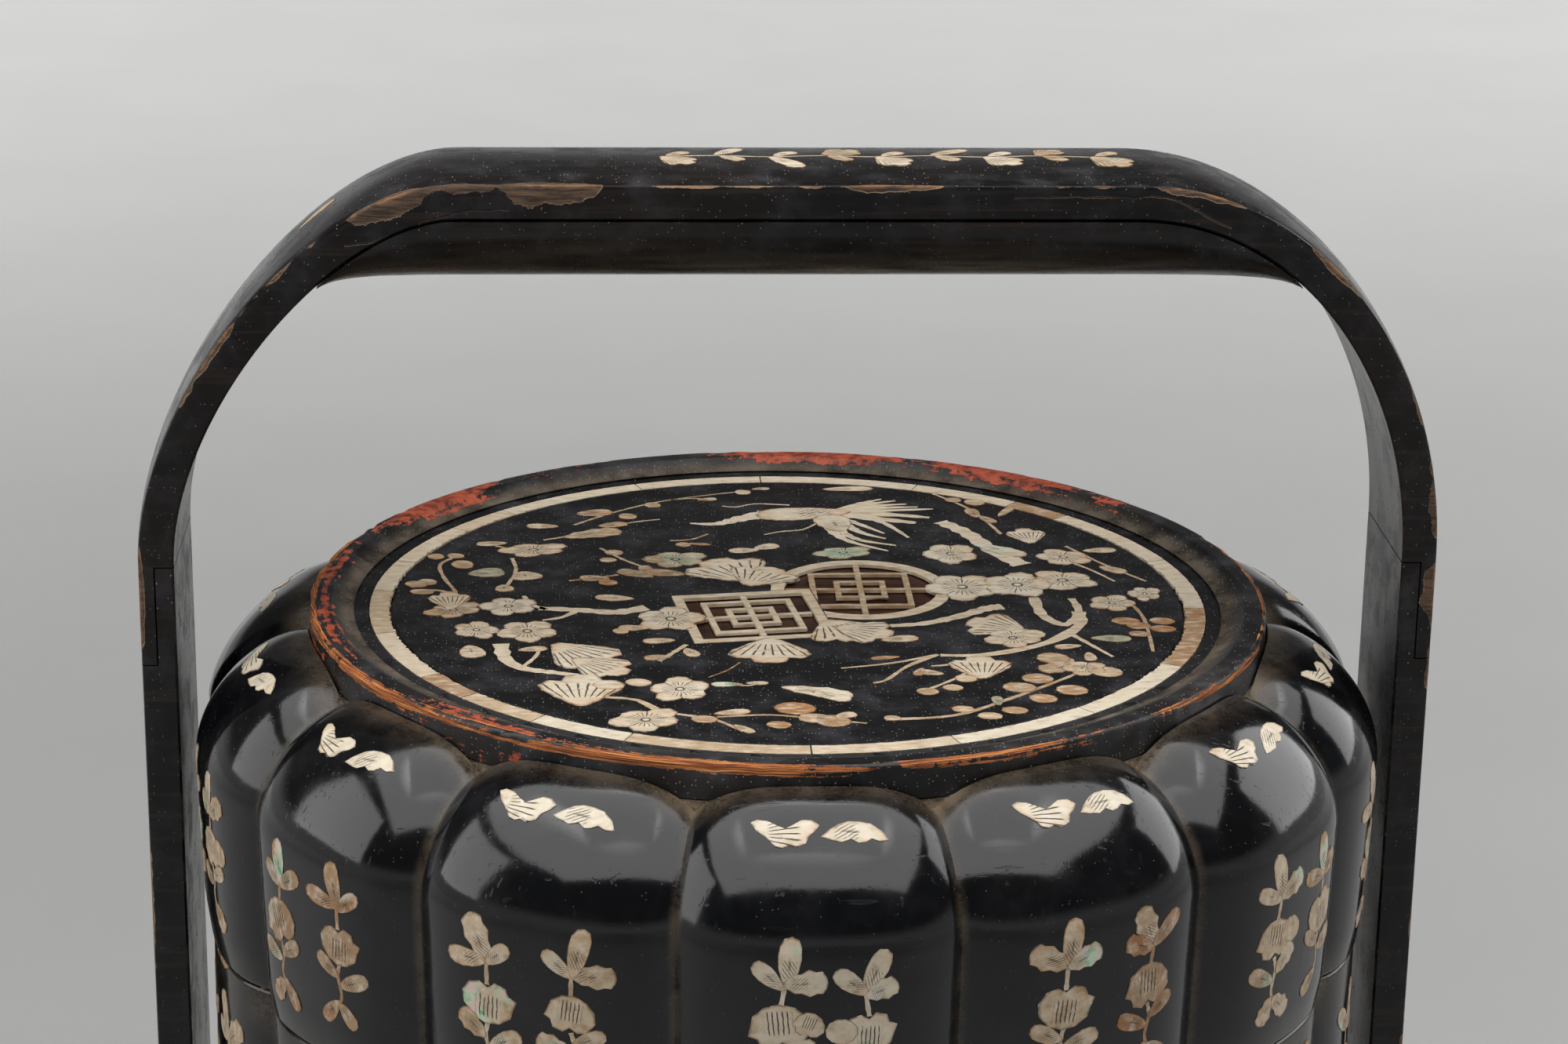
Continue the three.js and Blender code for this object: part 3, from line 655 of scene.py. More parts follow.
def finish_tree(graph, entry, geometry):
    """Ends a tree: its instances become plain mesh, and the mesh gets its finish."""
    whole = graph.add("GeometryNodeRealizeInstances", {}, {0: geometry})
    finish = {"Geometry": whole, "Material": entry.out("Finish")}
    whole = graph.add("GeometryNodeSetMaterial", {}, finish)
    graph.add("NodeGroupOutput", {}, {"Geometry": whole})
    print(f"{graph.tree.name}: {len(graph.tree.nodes)} nodes")


def write_numbers(mesh, name, column):
    """Gives each point of a mesh a number or a vector."""
    column = np.asarray(column, np.float32)
    kind, field = ("FLOAT_VECTOR", "vector") if column.ndim == 2 else ("FLOAT", "value")
    mesh.attributes.new(name, kind, "POINT").data.foreach_set(field, column.ravel())


def mesh_object(name, points, edges=(), faces=(), **values):
    """An object from points in metres; values are attributes with a number or vector per point."""
    mesh = bpy.data.meshes.new(name)
    mesh.from_pydata([tuple(point) for point in points], edges, faces)
    for key, column in values.items():
        write_numbers(mesh, key, column)
    made = bpy.data.objects.new(name, mesh)
    bpy.context.scene.collection.objects.link(made)
    return made


def work_in(piece):
    """Works the modifiers of a piece into its mesh."""
    bpy.context.view_layer.update()
    evaluated = piece.evaluated_get(bpy.context.evaluated_depsgraph_get())
    mesh = bpy.data.meshes.new_from_object(evaluated)
    piece.modifiers.clear()
    piece.data = mesh
    return mesh


def run_tree(source, graph, settings):
    """Runs a tree on an object and keeps the result as the object's plain mesh."""
    modifier = source.modifiers.new(graph.tree.name, "NODES")
    modifier.node_group = graph.tree
    for item in graph.tree.interface.items_tree:
        if item.name in settings:
            modifier[item.identifier] = settings[item.name]
    work_in(source)
    return source


def smooth(mesh, degrees, finish=None):
    """Smooth shading but for edges where faces meet at more than an angle, and a finish."""
    if finish:
        mesh.materials.append(finish)
    mesh.shade_smooth()
    mesh.set_sharp_from_angle(angle=math.radians(degrees))


def settle(piece, body, slot, *nodes):
    """Hands a finished piece over: it rides on a body and stands for solids. The slot is not used.
    """
    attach(piece, body)
    if nodes:
        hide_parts(*nodes)
    print(f"{piece.name}: {sum(len(face.vertices) - 2 for face in piece.data.polygons)} triangles")


# %% Rules that two trees share
def groove_rule(turn, roundness):
    """0 on a lobe's crown and 1 in a groove; turn counts the lobes."""
    return (abs(turn - turn.math("ROUND")) * 2) ** roundness


def around_axis(reach, angle, height):
    """The place at a distance from the upright axis, an angle round it and a height."""
    x, y = reach * angle.math("SINE"), -(reach * angle.math("COSINE"))
    return reach.graph.add("ShaderNodeCombineXYZ", {}, {0: x, 1: y, 2: height})


# %% The tree that turns a lobed form
turning, entry = geometry_tree(
    "Lobed turning",
    {
        "Lobes": "NodeSocketInt",
        "Steps per lobe": "NodeSocketInt",
        "Roundness": "NodeSocketFloat",
        "Sharpest smooth angle": "NodeSocketFloat",
        "Finish": "NodeSocketMaterial",
    },
)
steps_per_lobe = entry.out("Steps per lobe")


def at_corner(value, corner):
    """A vector that the outline has at one of its corners."""
    inputs = {"Geometry": entry, "Value": value, "Index": corner}
    return turning.add("GeometryNodeSampleIndex", {"data_type": "FLOAT_VECTOR"}, inputs)


def own_number(graph, name, kind="FLOAT"):
    """A number or vector that the points of the tree's mesh carry."""
    return graph.add("GeometryNodeInputNamedAttribute", {"data_type": kind}, {"Name": name}, 0)


mesh_size = turning.add("GeometryNodeAttributeDomainSize", {"component": "MESH"}, {0: entry})
corners = mesh_size.out("Point Count")
around = entry.out("Lobes") * steps_per_lobe + 1
body = turning.add("GeometryNodeMeshGrid", {}, {"Vertices X": corners, "Vertices Y": around})
index = turning.add("GeometryNodeInputIndex", {}, {})
step = index % around
corner = ((index - step) / around).math("ROUND")
turn = step / steps_per_lobe
groove = groove_rule(turn, entry.out("Roundness"))
radius, _, height = at_corner(turning.add("GeometryNodeInputPosition", {}, {}), corner).parts()
pull_in, pull_down, stain = at_corner(own_number(turning, "pulls", "FLOAT_VECTOR"), corner).parts()
angle = turn * (2 * math.pi) / entry.out("Lobes")
turned = around_axis(radius - pull_in * groove, angle, height - pull_down * groove)
carried_on = {"groove": groove * (pull_in + pull_down).ease(0.0, groove_depth), "stain": stain}
for name, value in carried_on.items():
    inputs = {"Geometry": body, "Name": name, "Value": value}
    body = turning.add("GeometryNodeStoreNamedAttribute", {}, inputs)
body = turning.add("GeometryNodeSetPosition", {}, {"Geometry": body, "Position": turned})
weld_distance = 0.002 * mm
body = turning.add("GeometryNodeMergeByDistance", {}, {"Geometry": body, "Distance": weld_distance})
body = turning.add("GeometryNodeSetShadeSmooth", {}, {"Geometry": body})
edge_angle = turning.add("GeometryNodeInputMeshEdgeAngle", {}, {}, "Unsigned Angle")
too_sharp = edge_angle > entry.out("Sharpest smooth angle")
sharp = {"Geometry": body, "Selection": too_sharp, "Shade Smooth": False}
body = turning.add("GeometryNodeSetShadeSmooth", {"domain": "EDGE"}, sharp)
finish_tree(turning, entry, body)


# %% From an outline to a lobed piece
def outward(piece):
    """Turns the faces of a closed mesh outwards, if its volume comes out negative."""
    mesh = piece.data
    mesh.calc_loop_triangles()
    points = np.array([v.co for v in mesh.vertices])
    corners = np.array([t.vertices for t in mesh.loop_triangles])
    a, b, c = points[corners[:, 0]], points[corners[:, 1]], points[corners[:, 2]]
    if np.einsum("ij,ij->i", a, np.cross(b, c)).sum() < 0:
        mesh.flip_normals()
    return piece


smooth_angle = 32


def outline_object(name, outline):
    """A line of corners: radius, height, and how far a groove pulls in and down, and the stain."""
    rows = [(*corner, 0, 0, 0)[:5] for corner in outline]
    edges = [(i, i + 1) for i in range(len(rows) - 1)]
    points = [(radius, 0, height) for radius, height, *_ in rows]
    return mesh_object(name, points, edges, pulls=[row[2:] for row in rows])


def lobed_piece(name, outline, finish, steps_per_lobe=24):
    """A closed piece with lobes, turned from its outline."""
    settings = {
        "Lobes": lobes,
        "Steps per lobe": steps_per_lobe,
        "Roundness": lobe_roundness,
        "Sharpest smooth angle": math.radians(smooth_angle),
        "Finish": finish,
    }
    return outward(run_tree(outline_object(name, outline), turning, settings))


def lobed_disc(name, radius, low, high, finish, steps_per_lobe=16):
    """A lobed disc between two heights."""
    outline = [(0, low), (radius, low, groove_depth), (radius, high, groove_depth), (0, high)]
    return lobed_piece(name, outline, finish, steps_per_lobe)


def fillet(radius, height, size, turn, stain=0.0, steps=3):
    """The rounded corner of a lobed edge: turn 1 goes from a level face up, -1 from upright in."""
    corner = []
    for i in range(steps + 1):
        swing = math.pi / 2 * i / steps
        if turn > 0:
            out, up = math.sin(swing), size - size * math.cos(swing)
        else:
            out, up = math.cos(swing), size * math.sin(swing) - size
        corner.append((radius - size + size * out, height + up, groove_depth, 0, stain))
    return corner


# %% [markdown]
# ## Lid
#
# The lid's skirt stands nearly upright and rounds over to the round panel on top. The grooves run
# over the shoulder and fade out where the panel's rim sits, and dirt has gathered there. The inside
# is hollow: it follows the shoulder to the ledge that carries the panel.

# %% Lid shell
body_radius = 130 * mm
shoulder_run = 25 * mm
shoulder_rise = 26 * mm
shoulder_fullness = 0.45
lid_height = rim_top - lid_base
shoulder_top = lid_height - 4 * mm
shoulder_base = shoulder_top - shoulder_rise
lid_foot = 128 * mm
edge_round = 1.1 * mm
lid_wall = 6 * mm
seat_depth = 8 * mm
ledge_width = 14.5 * mm


def bezier_weights(s):
    """How much each of a curve's four corners counts at s, which goes from 0 to 1."""
    return ((1 - s) ** 3, 3 * (1 - s) ** 2 * s, 3 * (1 - s) * s * s, s ** 3)


def shoulder_point(share, depth=0.0):
    """A point on the shoulder's curve, from its foot at 0 to the rim at 1, or that deep in it."""
    foot, foot_pull, rim_pull, rim_end = bezier_weights(share)
    out = foot + foot_pull + rim_pull * shoulder_fullness
    rise = foot_pull * shoulder_fullness + rim_pull + rim_end
    radius = body_radius - shoulder_run + (shoulder_run - depth) * out
    height = shoulder_base + (shoulder_rise - depth) * rise
    stain = max(0.0, (share - 0.72) / 0.28) ** 2 * 0.55
    return (radius, lid_base + height, groove_depth * out, groove_depth * rise, stain)


skirt_radius = 129.4 * mm
lid_outside = fillet(lid_foot, lid_base, edge_round, 1, 0.1)
for radius, share in ((skirt_radius - 0.5 * mm, 0.2), (skirt_radius, 0.5), (129.85 * mm, 0.8)):
    lid_outside.append((radius, lid_base + shoulder_base * share, groove_depth, 0, 0))
shoulder_steps = 26
lid_outside += [shoulder_point(step / shoulder_steps) for step in range(shoulder_steps + 1)]
ledge = lid_height - seat_depth
lid_inside = [
    (104.8 * mm, lid_base + ledge, 0, 0, 1),
    (rim_radius - ledge_width, lid_base + ledge),
    (rim_radius - ledge_width, lid_base + ledge - 5 * mm),
    *[shoulder_point(0.55 * step / 6, lid_wall)[:4] for step in range(6, -1, -1)],
    (lid_foot - lid_wall, lid_base, groove_depth),
]
shell = lobed_piece("lid_shell_carved", [*lid_outside, *lid_inside, lid_outside[0]], black_lacquer)
settle(shell, "lid", "black_lacquer", "lid_shell")

# %% [markdown]
# ## Boxes, board and foot
#
# The three boxes are alike: a lobed wall with rounded edges, a floor let in, and a red liner that
# stands proud of the wall to hold what is stacked on it. The board and the foot ring under them
# repeat the lobes.

# %% Boxes
box_wall = 5.5 * mm
liner_wall = 2.5 * mm
liner_round = 0.4 * mm


def lobed_ring(radius, thickness, bottom, top, round_size):
    outside = fillet(radius, bottom, round_size, 1, 0.25)
    outside += [(radius, bottom + (top - bottom) * s, groove_depth) for s in (0.2, 0.5, 0.8)]
    outside += fillet(radius, top, round_size, -1, 0.25)
    inner = radius - thickness
    inside = [(inner, top, groove_depth), (inner, bottom, groove_depth)]
    return [*outside, *inside, outside[0]]


for tier in tiers:
    wall_low, wall_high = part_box(f"{tier}_wall")
    outline = lobed_ring(box_radius, box_wall, wall_low.z, wall_high.z, edge_round)
    wall = lobed_piece(f"{tier}_wall_carved", outline, black_lacquer)
    settle(wall, tier, "black_lacquer", f"{tier}_wall")

    liner_low, liner_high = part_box(f"{tier}_liner")
    outline = lobed_ring(liner_radius, liner_wall, liner_low.z, liner_high.z, liner_round)
    liner = lobed_piece(f"{tier}_liner_fine", outline, red_lacquer, 16)
    settle(liner, tier, "red_lacquer", f"{tier}_liner")

    low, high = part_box(f"{tier}_floor")
    base = lobed_disc(f"{tier}_floor_fine", liner_radius, low.z, high.z, red_lacquer)
    settle(base, tier, "red_lacquer", f"{tier}_floor")

# %% Foot ring and seat
low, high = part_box("foot_ring")
foot_radius = -low.y
foot_draw = 3 * mm
foot_inner = foot_radius - 11 * mm
foot_round = 0.8 * mm
foot_outside = [
    (foot_radius - foot_round, low.z, groove_depth),
    (foot_radius, foot_round, groove_depth, 0, 0.5),
]
foot_steps = 8
for step in range(foot_steps + 1):
    swing = step / foot_steps
    ease = swing * swing * (3 - 2 * swing)
    height = 4 * mm + 5 * mm * swing
    foot_outside.append((foot_radius - foot_draw * ease, height, groove_depth, 0, 0.2))
foot_outside.append((foot_radius - foot_draw, high.z, groove_depth, 0, 0.4))
foot_inside = [(foot_inner, high.z, groove_depth), (foot_inner, 0, groove_depth)]
foot_outline = [*foot_outside, *foot_inside, foot_outside[0]]
foot = lobed_piece("foot_ring_carved", foot_outline, black_lacquer)
settle(foot, "stand", "black_lacquer", "foot_ring")

low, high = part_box("base_seat")
seat = lobed_disc("base_seat_fine", liner_radius, low.z, high.z, black_lacquer)
settle(seat, "stand", "black_lacquer", "base_seat")


# %% [markdown]
# The board is one lobed plank with two square ears that carry the hoop's legs, so no single
# outline gives it. Its solid already has the right shape: a welded copy of it with smooth shading
# over its small facets is enough.

# %% Board
def smooth_copy(name, node, finish, degrees):
    """A welded copy of a solid, shaded smooth where its faces meet at less than an angle.

    Wide faces weigh more than narrow ones in the shading, so they stay flat beside rounded edges.
    """
    copy = bpy.data.objects.new(name, frame["nodes"][node].data.copy())
    bpy.context.scene.collection.objects.link(copy)
    copy.modifiers.new("weld", "WELD").merge_threshold = 0.003 * mm
    merged = work_in(copy)
    merged.materials.clear()
    smooth(merged, degrees, finish)
    copy.modifiers.new("weighing", "WEIGHTED_NORMAL").keep_sharp = True
    work_in(copy)
    return copy


board = smooth_copy("base_board_smooth", "base_board", black_lacquer, 32)
settle(board, "stand", "black_lacquer", "base_board")

# %% [markdown]
# ## Hoop
#
# The hoop is one strap of wood bent over the lid, with two straight legs joined to it by half-laps
# and a grip glued under its top. A strap is a section carried along a path. Here each station of
# the path is a point and the direction that points out of the hoop, and the section is a ring of
# points across the strap and out from its outer face, so the mesh follows with two short loops. In
# the laps only the outer half of the strap is left, so the section changes there.

# %% Path of the bow
strap_depth = 37 * mm
strap_thickness = 8.6 * mm
strap_crown = 1 * mm
strap_edge = 0.7 * mm
arris_cut = 0.22 * mm
inner_chamfer = 0.5 * mm
crown_steps = 16
corner_run, corner_fall = 69 * mm, 84 * mm
left_fullness, right_fullness = 0.44, 0.56
flat_half = hoop_half - corner_run
lap_top = hoop_top - corner_fall


def bend(corners, steps):
    """Points and outward directions along a curve with four corners, without its last point."""
    stations = []
    for step in range(steps):
        s = step / steps
        slopes = (-3 * (1 - s) ** 2, 3 * (1 - s) * (1 - 3 * s), 3 * s * (2 - 3 * s), 3 * s * s)
        (x, z), (dx, dz) = (
            [sum(share * corner[i] for share, corner in zip(shares, corners)) for i in (0, 1)]
            for shares in (bezier_weights(s), slopes)
        )
        length = math.hypot(dx, dz)
        stations.append((x, z, -dz / length, dx / length))
    return stations


def straight(start, end, steps):
    dx, dz = end[0] - start[0], end[1] - start[1]
    length = math.hypot(dx, dz)
    places = [(start[0] + dx * i / steps, start[1] + dz * i / steps) for i in range(steps)]
    return [(*place, -dz / length, dx / length) for place in places]


bend_steps, top_steps = 56, 64
top_left, top_right = (-flat_half, hoop_top), (flat_half, hoop_top)
side_left, side_right = (-hoop_half, lap_top), (hoop_half, lap_top)
left_pulls = [
    (-hoop_half, lap_top + corner_fall * left_fullness),
    (-flat_half - corner_run * left_fullness, hoop_top),
]
right_pulls = [
    (flat_half + corner_run * right_fullness, hoop_top),
    (hoop_half, lap_top + corner_fall * right_fullness),
]
bow_path = bend([side_left, *left_pulls, top_left], bend_steps)
bow_path += straight(top_left, top_right, top_steps)
bow_path += bend([top_right, *right_pulls, side_right], bend_steps)
bow_path.append((*side_right, 1, 0))
print(len(bow_path), "stations on the bow")


# %% Section of the strap
def strap_section(inner=-strap_thickness, inner_edge=inner_chamfer):
    """Ring of (across, out) round the strap, from the rear arris over the crown to the front."""
    half = strap_depth / 2
    edge = half - strap_edge
    side = [
        (half, inner + inner_edge),
        (half, -strap_crown - strap_edge - 1.5 * mm),
        (half, -strap_crown - strap_edge),
        (half - arris_cut, -strap_crown - arris_cut),
    ]
    ring = list(side)
    for step in range(crown_steps + 1):
        s = step / crown_steps
        ring.append((edge * (1 - 2 * s), strap_crown * (4 * s * (1 - s) - 1)))
    ring += [(-across, out) for across, out in reversed(side)]
    inside = (-half + inner_edge, -half / 3, half / 3, half - inner_edge)
    return ring + [(across, inner) for across in inside]


full_section = strap_section()
outer_half_section = strap_section(-strap_thickness / 2, 0.05 * mm)
print(len(full_section), "points in the section")

# %% [markdown]
# ### Where the hoop is chipped
#
# Each worn stretch of an arris is named by where it starts and ends along the outer face, and by
# how far its chips reach. They become numbers on the mesh that the finish reads.

# %% Chips
chips = [
    # start and end as (x, z), and reach, in millimetres
    ((-94, 357), (-41, 366), 5.5),
    ((-41, 366), (5, 366), 0.7),
    ((0, 366), (30, 366), 1.5),
    ((46, 366), (98, 362), 1.5),
    ((-142, 262), (-141, 286), 1.3),
    ((-136, 312), (-95, 357), 1.3),
    ((104, 358), (124, 343), 1.4),
    ((133, 328), (140, 306), 1.2),
    ((140, 304), (141, 287), 3.2),
    ((141, 281), (141, 266), 3.2),
    ((141, 262), (141, 254), 2),
    ((-141, 240), (-141, 60), 0.7),
    ((141, 240), (141, 40), 0.8),
]


def distance_to_line(points, start, end):
    """How far points are from a line, and how far along it, from 0 to 1, they lie."""
    start, along = np.array(start, float), np.array(end, float) - np.array(start, float)
    share = np.clip(((points - start) @ along) / (along @ along), 0, 1)
    return np.linalg.norm(points - start - share[:, None] * along, axis=1), share


unworn_reach = 0.3 * mm


def write_wear(piece, arris):
    """Writes how far each point is from an arris, how far chips reach there, and its dust."""
    mesh = piece.data
    points = np.array([v.co for v in mesh.vertices])
    profile = points[:, [0, 2]] / mm
    at_front = points[:, 1] < -strap_depth / 4
    on_top = np.abs(np.abs(points[:, 1]) - strap_depth / 2) > 0.3 * mm
    reach = np.full(len(points), unworn_reach)
    for start, end, chip_reach in chips:
        distance, share = distance_to_line(profile, start, end)
        near = np.clip(1.6 - distance / 9, 0, 1) * (4 * share * (1 - share)) ** 0.35
        side = np.where(at_front, 1.0, 0.3) * np.where(on_top, 0.4, 1.0)
        reach = np.maximum(reach, chip_reach * mm * near * side)
    dust = np.clip([v.normal.z for v in mesh.vertices], 0, 1)
    for name, column in {"arris": arris, "reach": reach, "dust": dust}.items():
        write_numbers(mesh, name, column)


# %% Straps
def bar(name, points, size, arris, finish):
    """A closed bar from rings of points, joined by quads and capped at both ends."""
    faces = [tuple(range(size)), tuple(range(len(points) - 1, len(points) - size - 1, -1))]
    for row in range(0, len(points) - size, size):
        for i in range(size):
            after = (i + 1) % size
            faces.append((row + after, row + i, row + size + i, row + size + after))
    piece = outward(mesh_object(name, points, faces=faces))
    write_wear(piece, arris)
    smooth(piece.data, smooth_angle, finish)
    return piece


def strap(name, stations, sections, finish):
    """A bar with a section at each station of a path."""
    points, arris = [], []
    for (x, z, out_x, out_z), section in zip(stations, sections):
        for across, out in section:
            points.append((x + out_x * out, across, z + out_z * out))
            arris.append(abs(strap_depth / 2 - abs(across)) + abs(out + strap_crown))
    return bar(name, points, len(sections[0]), arris, finish)


lap_steps = 9
lap_heights = [lap_bottom + (lap_top - lap_bottom) * i / lap_steps for i in range(lap_steps + 1)]
left_lap = [(-hoop_half, z, -1, 0) for z in lap_heights]
right_lap = [(hoop_half, z, 1, 0) for z in reversed(lap_heights)]
bow_stations = left_lap + bow_path + right_lap
lap_sections = [outer_half_section] * len(lap_heights)
bow_sections = lap_sections + [full_section] * len(bow_path) + lap_sections
bow = strap("hoop_bow", bow_stations, bow_sections, hoop_lacquer)
settle(bow, "stand", "black_lacquer", "handle_bow")

# %% [markdown]
# A leg is the same strap, upright, with the other half of the lap at its top. Its tenon goes
# through the board and is pegged, and none of that shows but the pegs' ends.

# %% Legs and pegs
leg_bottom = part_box("leg_right")[0].z
leg_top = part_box("leg_right")[1].z
leg_foot = board_top + seat_gap
leg_shoulder = lap_bottom - seat_gap
leg_steps = 60
tenon_half, tenon_cut = 12 * mm, 1.2 * mm
tenon_section = [
    (
        max(-tenon_half, min(tenon_half, across)),
        max(-strap_thickness + tenon_cut, min(-strap_crown - tenon_cut, out)),
    )
    for across, out in full_section
]
lap_outer = -strap_thickness / 2 - seat_gap
inner_half_section = [(across, min(out, lap_outer)) for across, out in full_section]
leg_rows = [(leg_bottom, tenon_section), (leg_foot, tenon_section), (leg_foot, full_section)]
for step in range(1, leg_steps + 1):
    leg_rows.append((leg_foot + (leg_shoulder - leg_foot) * step / leg_steps, full_section))
leg_rows += [(leg_shoulder, inner_half_section), (leg_top, inner_half_section)]
leg_heights, leg_sections = zip(*leg_rows)
for side, sign in (("left", -1), ("right", 1)):
    stations = [(sign * hoop_half, z, sign, 0) for z in leg_heights]
    leg = strap(f"hoop_leg_{side}", stations, leg_sections, hoop_lacquer)
    settle(leg, "stand", "black_lacquer", f"leg_{side}")
    for place in ("front", "rear"):
        node = f"leg_peg_{side}_{place}"
        peg = smooth_copy(f"{node}_turned", node, bare_wood, 40)
        settle(peg, "stand", "bare_wood", node)

# %% [markdown]
# The grip fills the bow's top: its upper side follows the bow, its underside is level and
# half-round, and its ends run out to a thin edge. Each station is a half ring hung from the bow's
# inner face down to the level underside.

# %% Grip
grip_inset = strap_thickness + seat_gap
grip_end = grip_under + 1 * mm
full_line = [(x - ox * grip_inset, z - oz * grip_inset) for x, z, ox, oz in bow_path]
seat_line = [(x, z) for x, z in full_line if z > grip_end]


def end_of_seat(inner, outer):
    """The point where the line through two stations comes down to the grip's thin end."""
    share = (grip_end - outer[1]) / (inner[1] - outer[1])
    return (outer[0] + (inner[0] - outer[0]) * share, grip_end)


first, last = full_line.index(seat_line[0]), full_line.index(seat_line[-1])
seat_line.insert(0, end_of_seat(full_line[first], full_line[first - 1]))
seat_line.append(end_of_seat(full_line[last], full_line[last + 1]))
half_ring = [(math.cos(a), -math.sin(a)) for a in np.linspace(0, math.pi, 19)]
half_ring += [(across, 0) for across in (-0.6, -0.2, 0.2, 0.6)]
points = [
    (x, across * strap_depth / 2, z + out * (z - grip_under))
    for x, z in seat_line
    for across, out in half_ring
]
far_from_arris = 20 * mm
grip = bar("hoop_grip", points, len(half_ring), [far_from_arris] * len(points), hoop_lacquer)
settle(grip, "stand", "black_lacquer", "handle_grip")

# %% [markdown]
# ## Rim and panel
#
# The rim is a strip of wood bent round the panel. It stands a little above the lobes, and its inner
# side slopes down to the panel as a shallow cove. Its outer arris has splintered, most of all at
# the front and left, so the mesh is fine enough to be knocked about a little there.

# %% Section of the rim
rim_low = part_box("lid_rim")[0].z
rim_round = 1 * mm
rim_inner_top = rim_radius - 4.7 * mm
rim_toe = rim_inner_top - 5 * mm
rim_shelf = panel_top + seat_gap
rim_foot_inner = panel_radius + seat_gap
cove_fall = rim_top - rim_shelf
cove_steps = 12
rim_outline = [(rim_radius, z) for z in np.linspace(rim_low, rim_top - rim_round, 7)]
for swing in np.linspace(0.3, math.pi / 2, 5):
    radius = rim_radius - rim_round * (1 - math.cos(swing))
    rim_outline.append((radius, rim_top - rim_round * (1 - math.sin(swing))))
rim_outline += [(r, rim_top) for r in np.linspace(rim_radius - rim_round, rim_inner_top, 6)[1:-1]]
for step in range(cove_steps):
    s = step / cove_steps
    radius = rim_inner_top - (rim_inner_top - rim_toe) * s
    rim_outline.append((radius, rim_top - cove_fall * (1 - (1 - s) ** 1.6) * 0.98))
rim_outline += [(rim_toe, rim_shelf + 0.15 * mm), (rim_toe, rim_shelf)]
rim_outline += [(rim_foot_inner, rim_shelf), (rim_foot_inner, rim_low)]

print(len(rim_outline), "corners round the rim's section")


# %% Where the rim is split and where it is red
# azimuth and half width in degrees, and strength
splinters = [
    (-100, 42, 1.0), (-55, 30, 0.75), (-15, 30, 0.95), (18, 24, 0.6), (58, 20, 0.55),
    (95, 18, 0.6), (180, 25, 0.35),
]
red_patches = [
    (-128, 16, 0.9), (-100, 14, 0.55), (-150, 14, 0.35), (172, 17, 1.0), (146, 15, 1.0),
    (128, 5, 0.6), (-82, 24, 0.55), (-40, 22, 0.5),
]


def bumps(degrees, places):
    """The highest of several soft bumps round the rim; a place is (azimuth, half width, height)."""
    total = np.zeros(len(degrees))
    for azimuth, half_width, height in places:
        away = np.abs((degrees - azimuth + 180) % 360 - 180) / half_width
        total = np.maximum(total, height * np.clip(1.25 - away, 0, 1))
    return total


def write_uvs(mesh, uvs):
    """A UV map from a pair of numbers for each corner of each face."""
    layer = mesh.uv_layers.new(name="UVMap")
    layer.data.foreach_set("uv", np.asarray(uvs, np.float32).ravel())


def rough_series(count, knots, rng):
    """Smooth random numbers round a circle, about -1 to 1."""
    values = rng.normal(size=knots) * 0.5
    places = np.arange(count) * knots / count
    low = np.floor(places).astype(int)
    share = places - low
    share = share * share * (3 - 2 * share)
    return values[low % knots] * (1 - share) + values[(low + 1) % knots] * share


def near_arris(inward, inward_fade, below, below_fade):
    """1 at the rim's outer arris, fading to 0 at a distance inwards from it and below it."""
    across = np.clip((profile[:, 0] - rim_radius + inward) / inward_fade, 0, 1)
    return across * np.clip((profile[:, 1] - rim_top + below) / below_fade, 0, 1)


rng = np.random.default_rng(7)
rim_steps = 720
angles = np.arange(rim_steps) * 2 * math.pi / rim_steps
degrees = np.degrees(np.arctan2(np.sin(angles), np.cos(angles)))
split = bumps(degrees, splinters)[:, None]
red = bumps(degrees, red_patches)[:, None]
knock = rough_series(rim_steps, 260, rng) + rough_series(rim_steps, 90, rng)
profile = np.array(rim_outline)
top_outer = np.clip((profile[:, 0] - rim_toe) / (rim_radius - rim_toe), 0, 1)
chipped = np.clip(knock, 0, 1.4)[:, None] * (0.25 + split)
chipped = chipped * near_arris(1.6 * mm, 1.6 * mm, 3.5 * mm, 2.5 * mm)
splinter = (0.2 + 0.62 * split) * near_arris(2.4 * mm, 1.6 * mm, 3.4 * mm, 2 * mm)
vermilion = red * np.clip(1.15 - np.abs(top_outer - 0.72) * 1.6, 0, 1)
cove_stain = np.clip(1.3 - np.abs(top_outer - 0.12) * 4, 0, 1) * 0.6
print(f"most is knocked off at {degrees[chipped.max(axis=1).argmax()]:.0f} degrees")

# %% Rim
radius = profile[:, 0] - chipped * 0.55 * mm
height = profile[:, 1] - chipped * 0.5 * mm
x, y = radius * np.sin(angles)[:, None], -radius * np.cos(angles)[:, None]
points = np.stack([x, y, height], -1).reshape(-1, 3)
size = len(profile)
lengths = np.concatenate([[0], np.cumsum(np.linalg.norm(np.diff(profile, axis=0), axis=1))])
faces, uvs = [], []
run_ends = [*lengths[1:], lengths[-1] + 3 * mm]
round_step = 2 * math.pi * rim_radius
for i in range(rim_steps):
    here, there = i * size, (i + 1) % rim_steps * size
    along, along_next = i * round_step / rim_steps, (i + 1) * round_step / rim_steps
    for j in range(size):
        after = (j + 1) % size
        faces.append((here + j, there + j, there + after, here + after))
        uvs += [(along, lengths[j]), (along_next, lengths[j])]
        uvs += [(along_next, run_ends[j]), (along, run_ends[j])]
rim = mesh_object(
    "lid_rim_bent",
    points,
    faces=faces,
    splinter=splinter.ravel(),
    vermilion=vermilion.ravel(),
    stain=np.tile(cove_stain, rim_steps),
)
write_uvs(rim.data, uvs)
smooth(outward(rim).data, 40, rim_lacquer)
settle(rim, "lid", "worn_lacquer", "lid_rim")

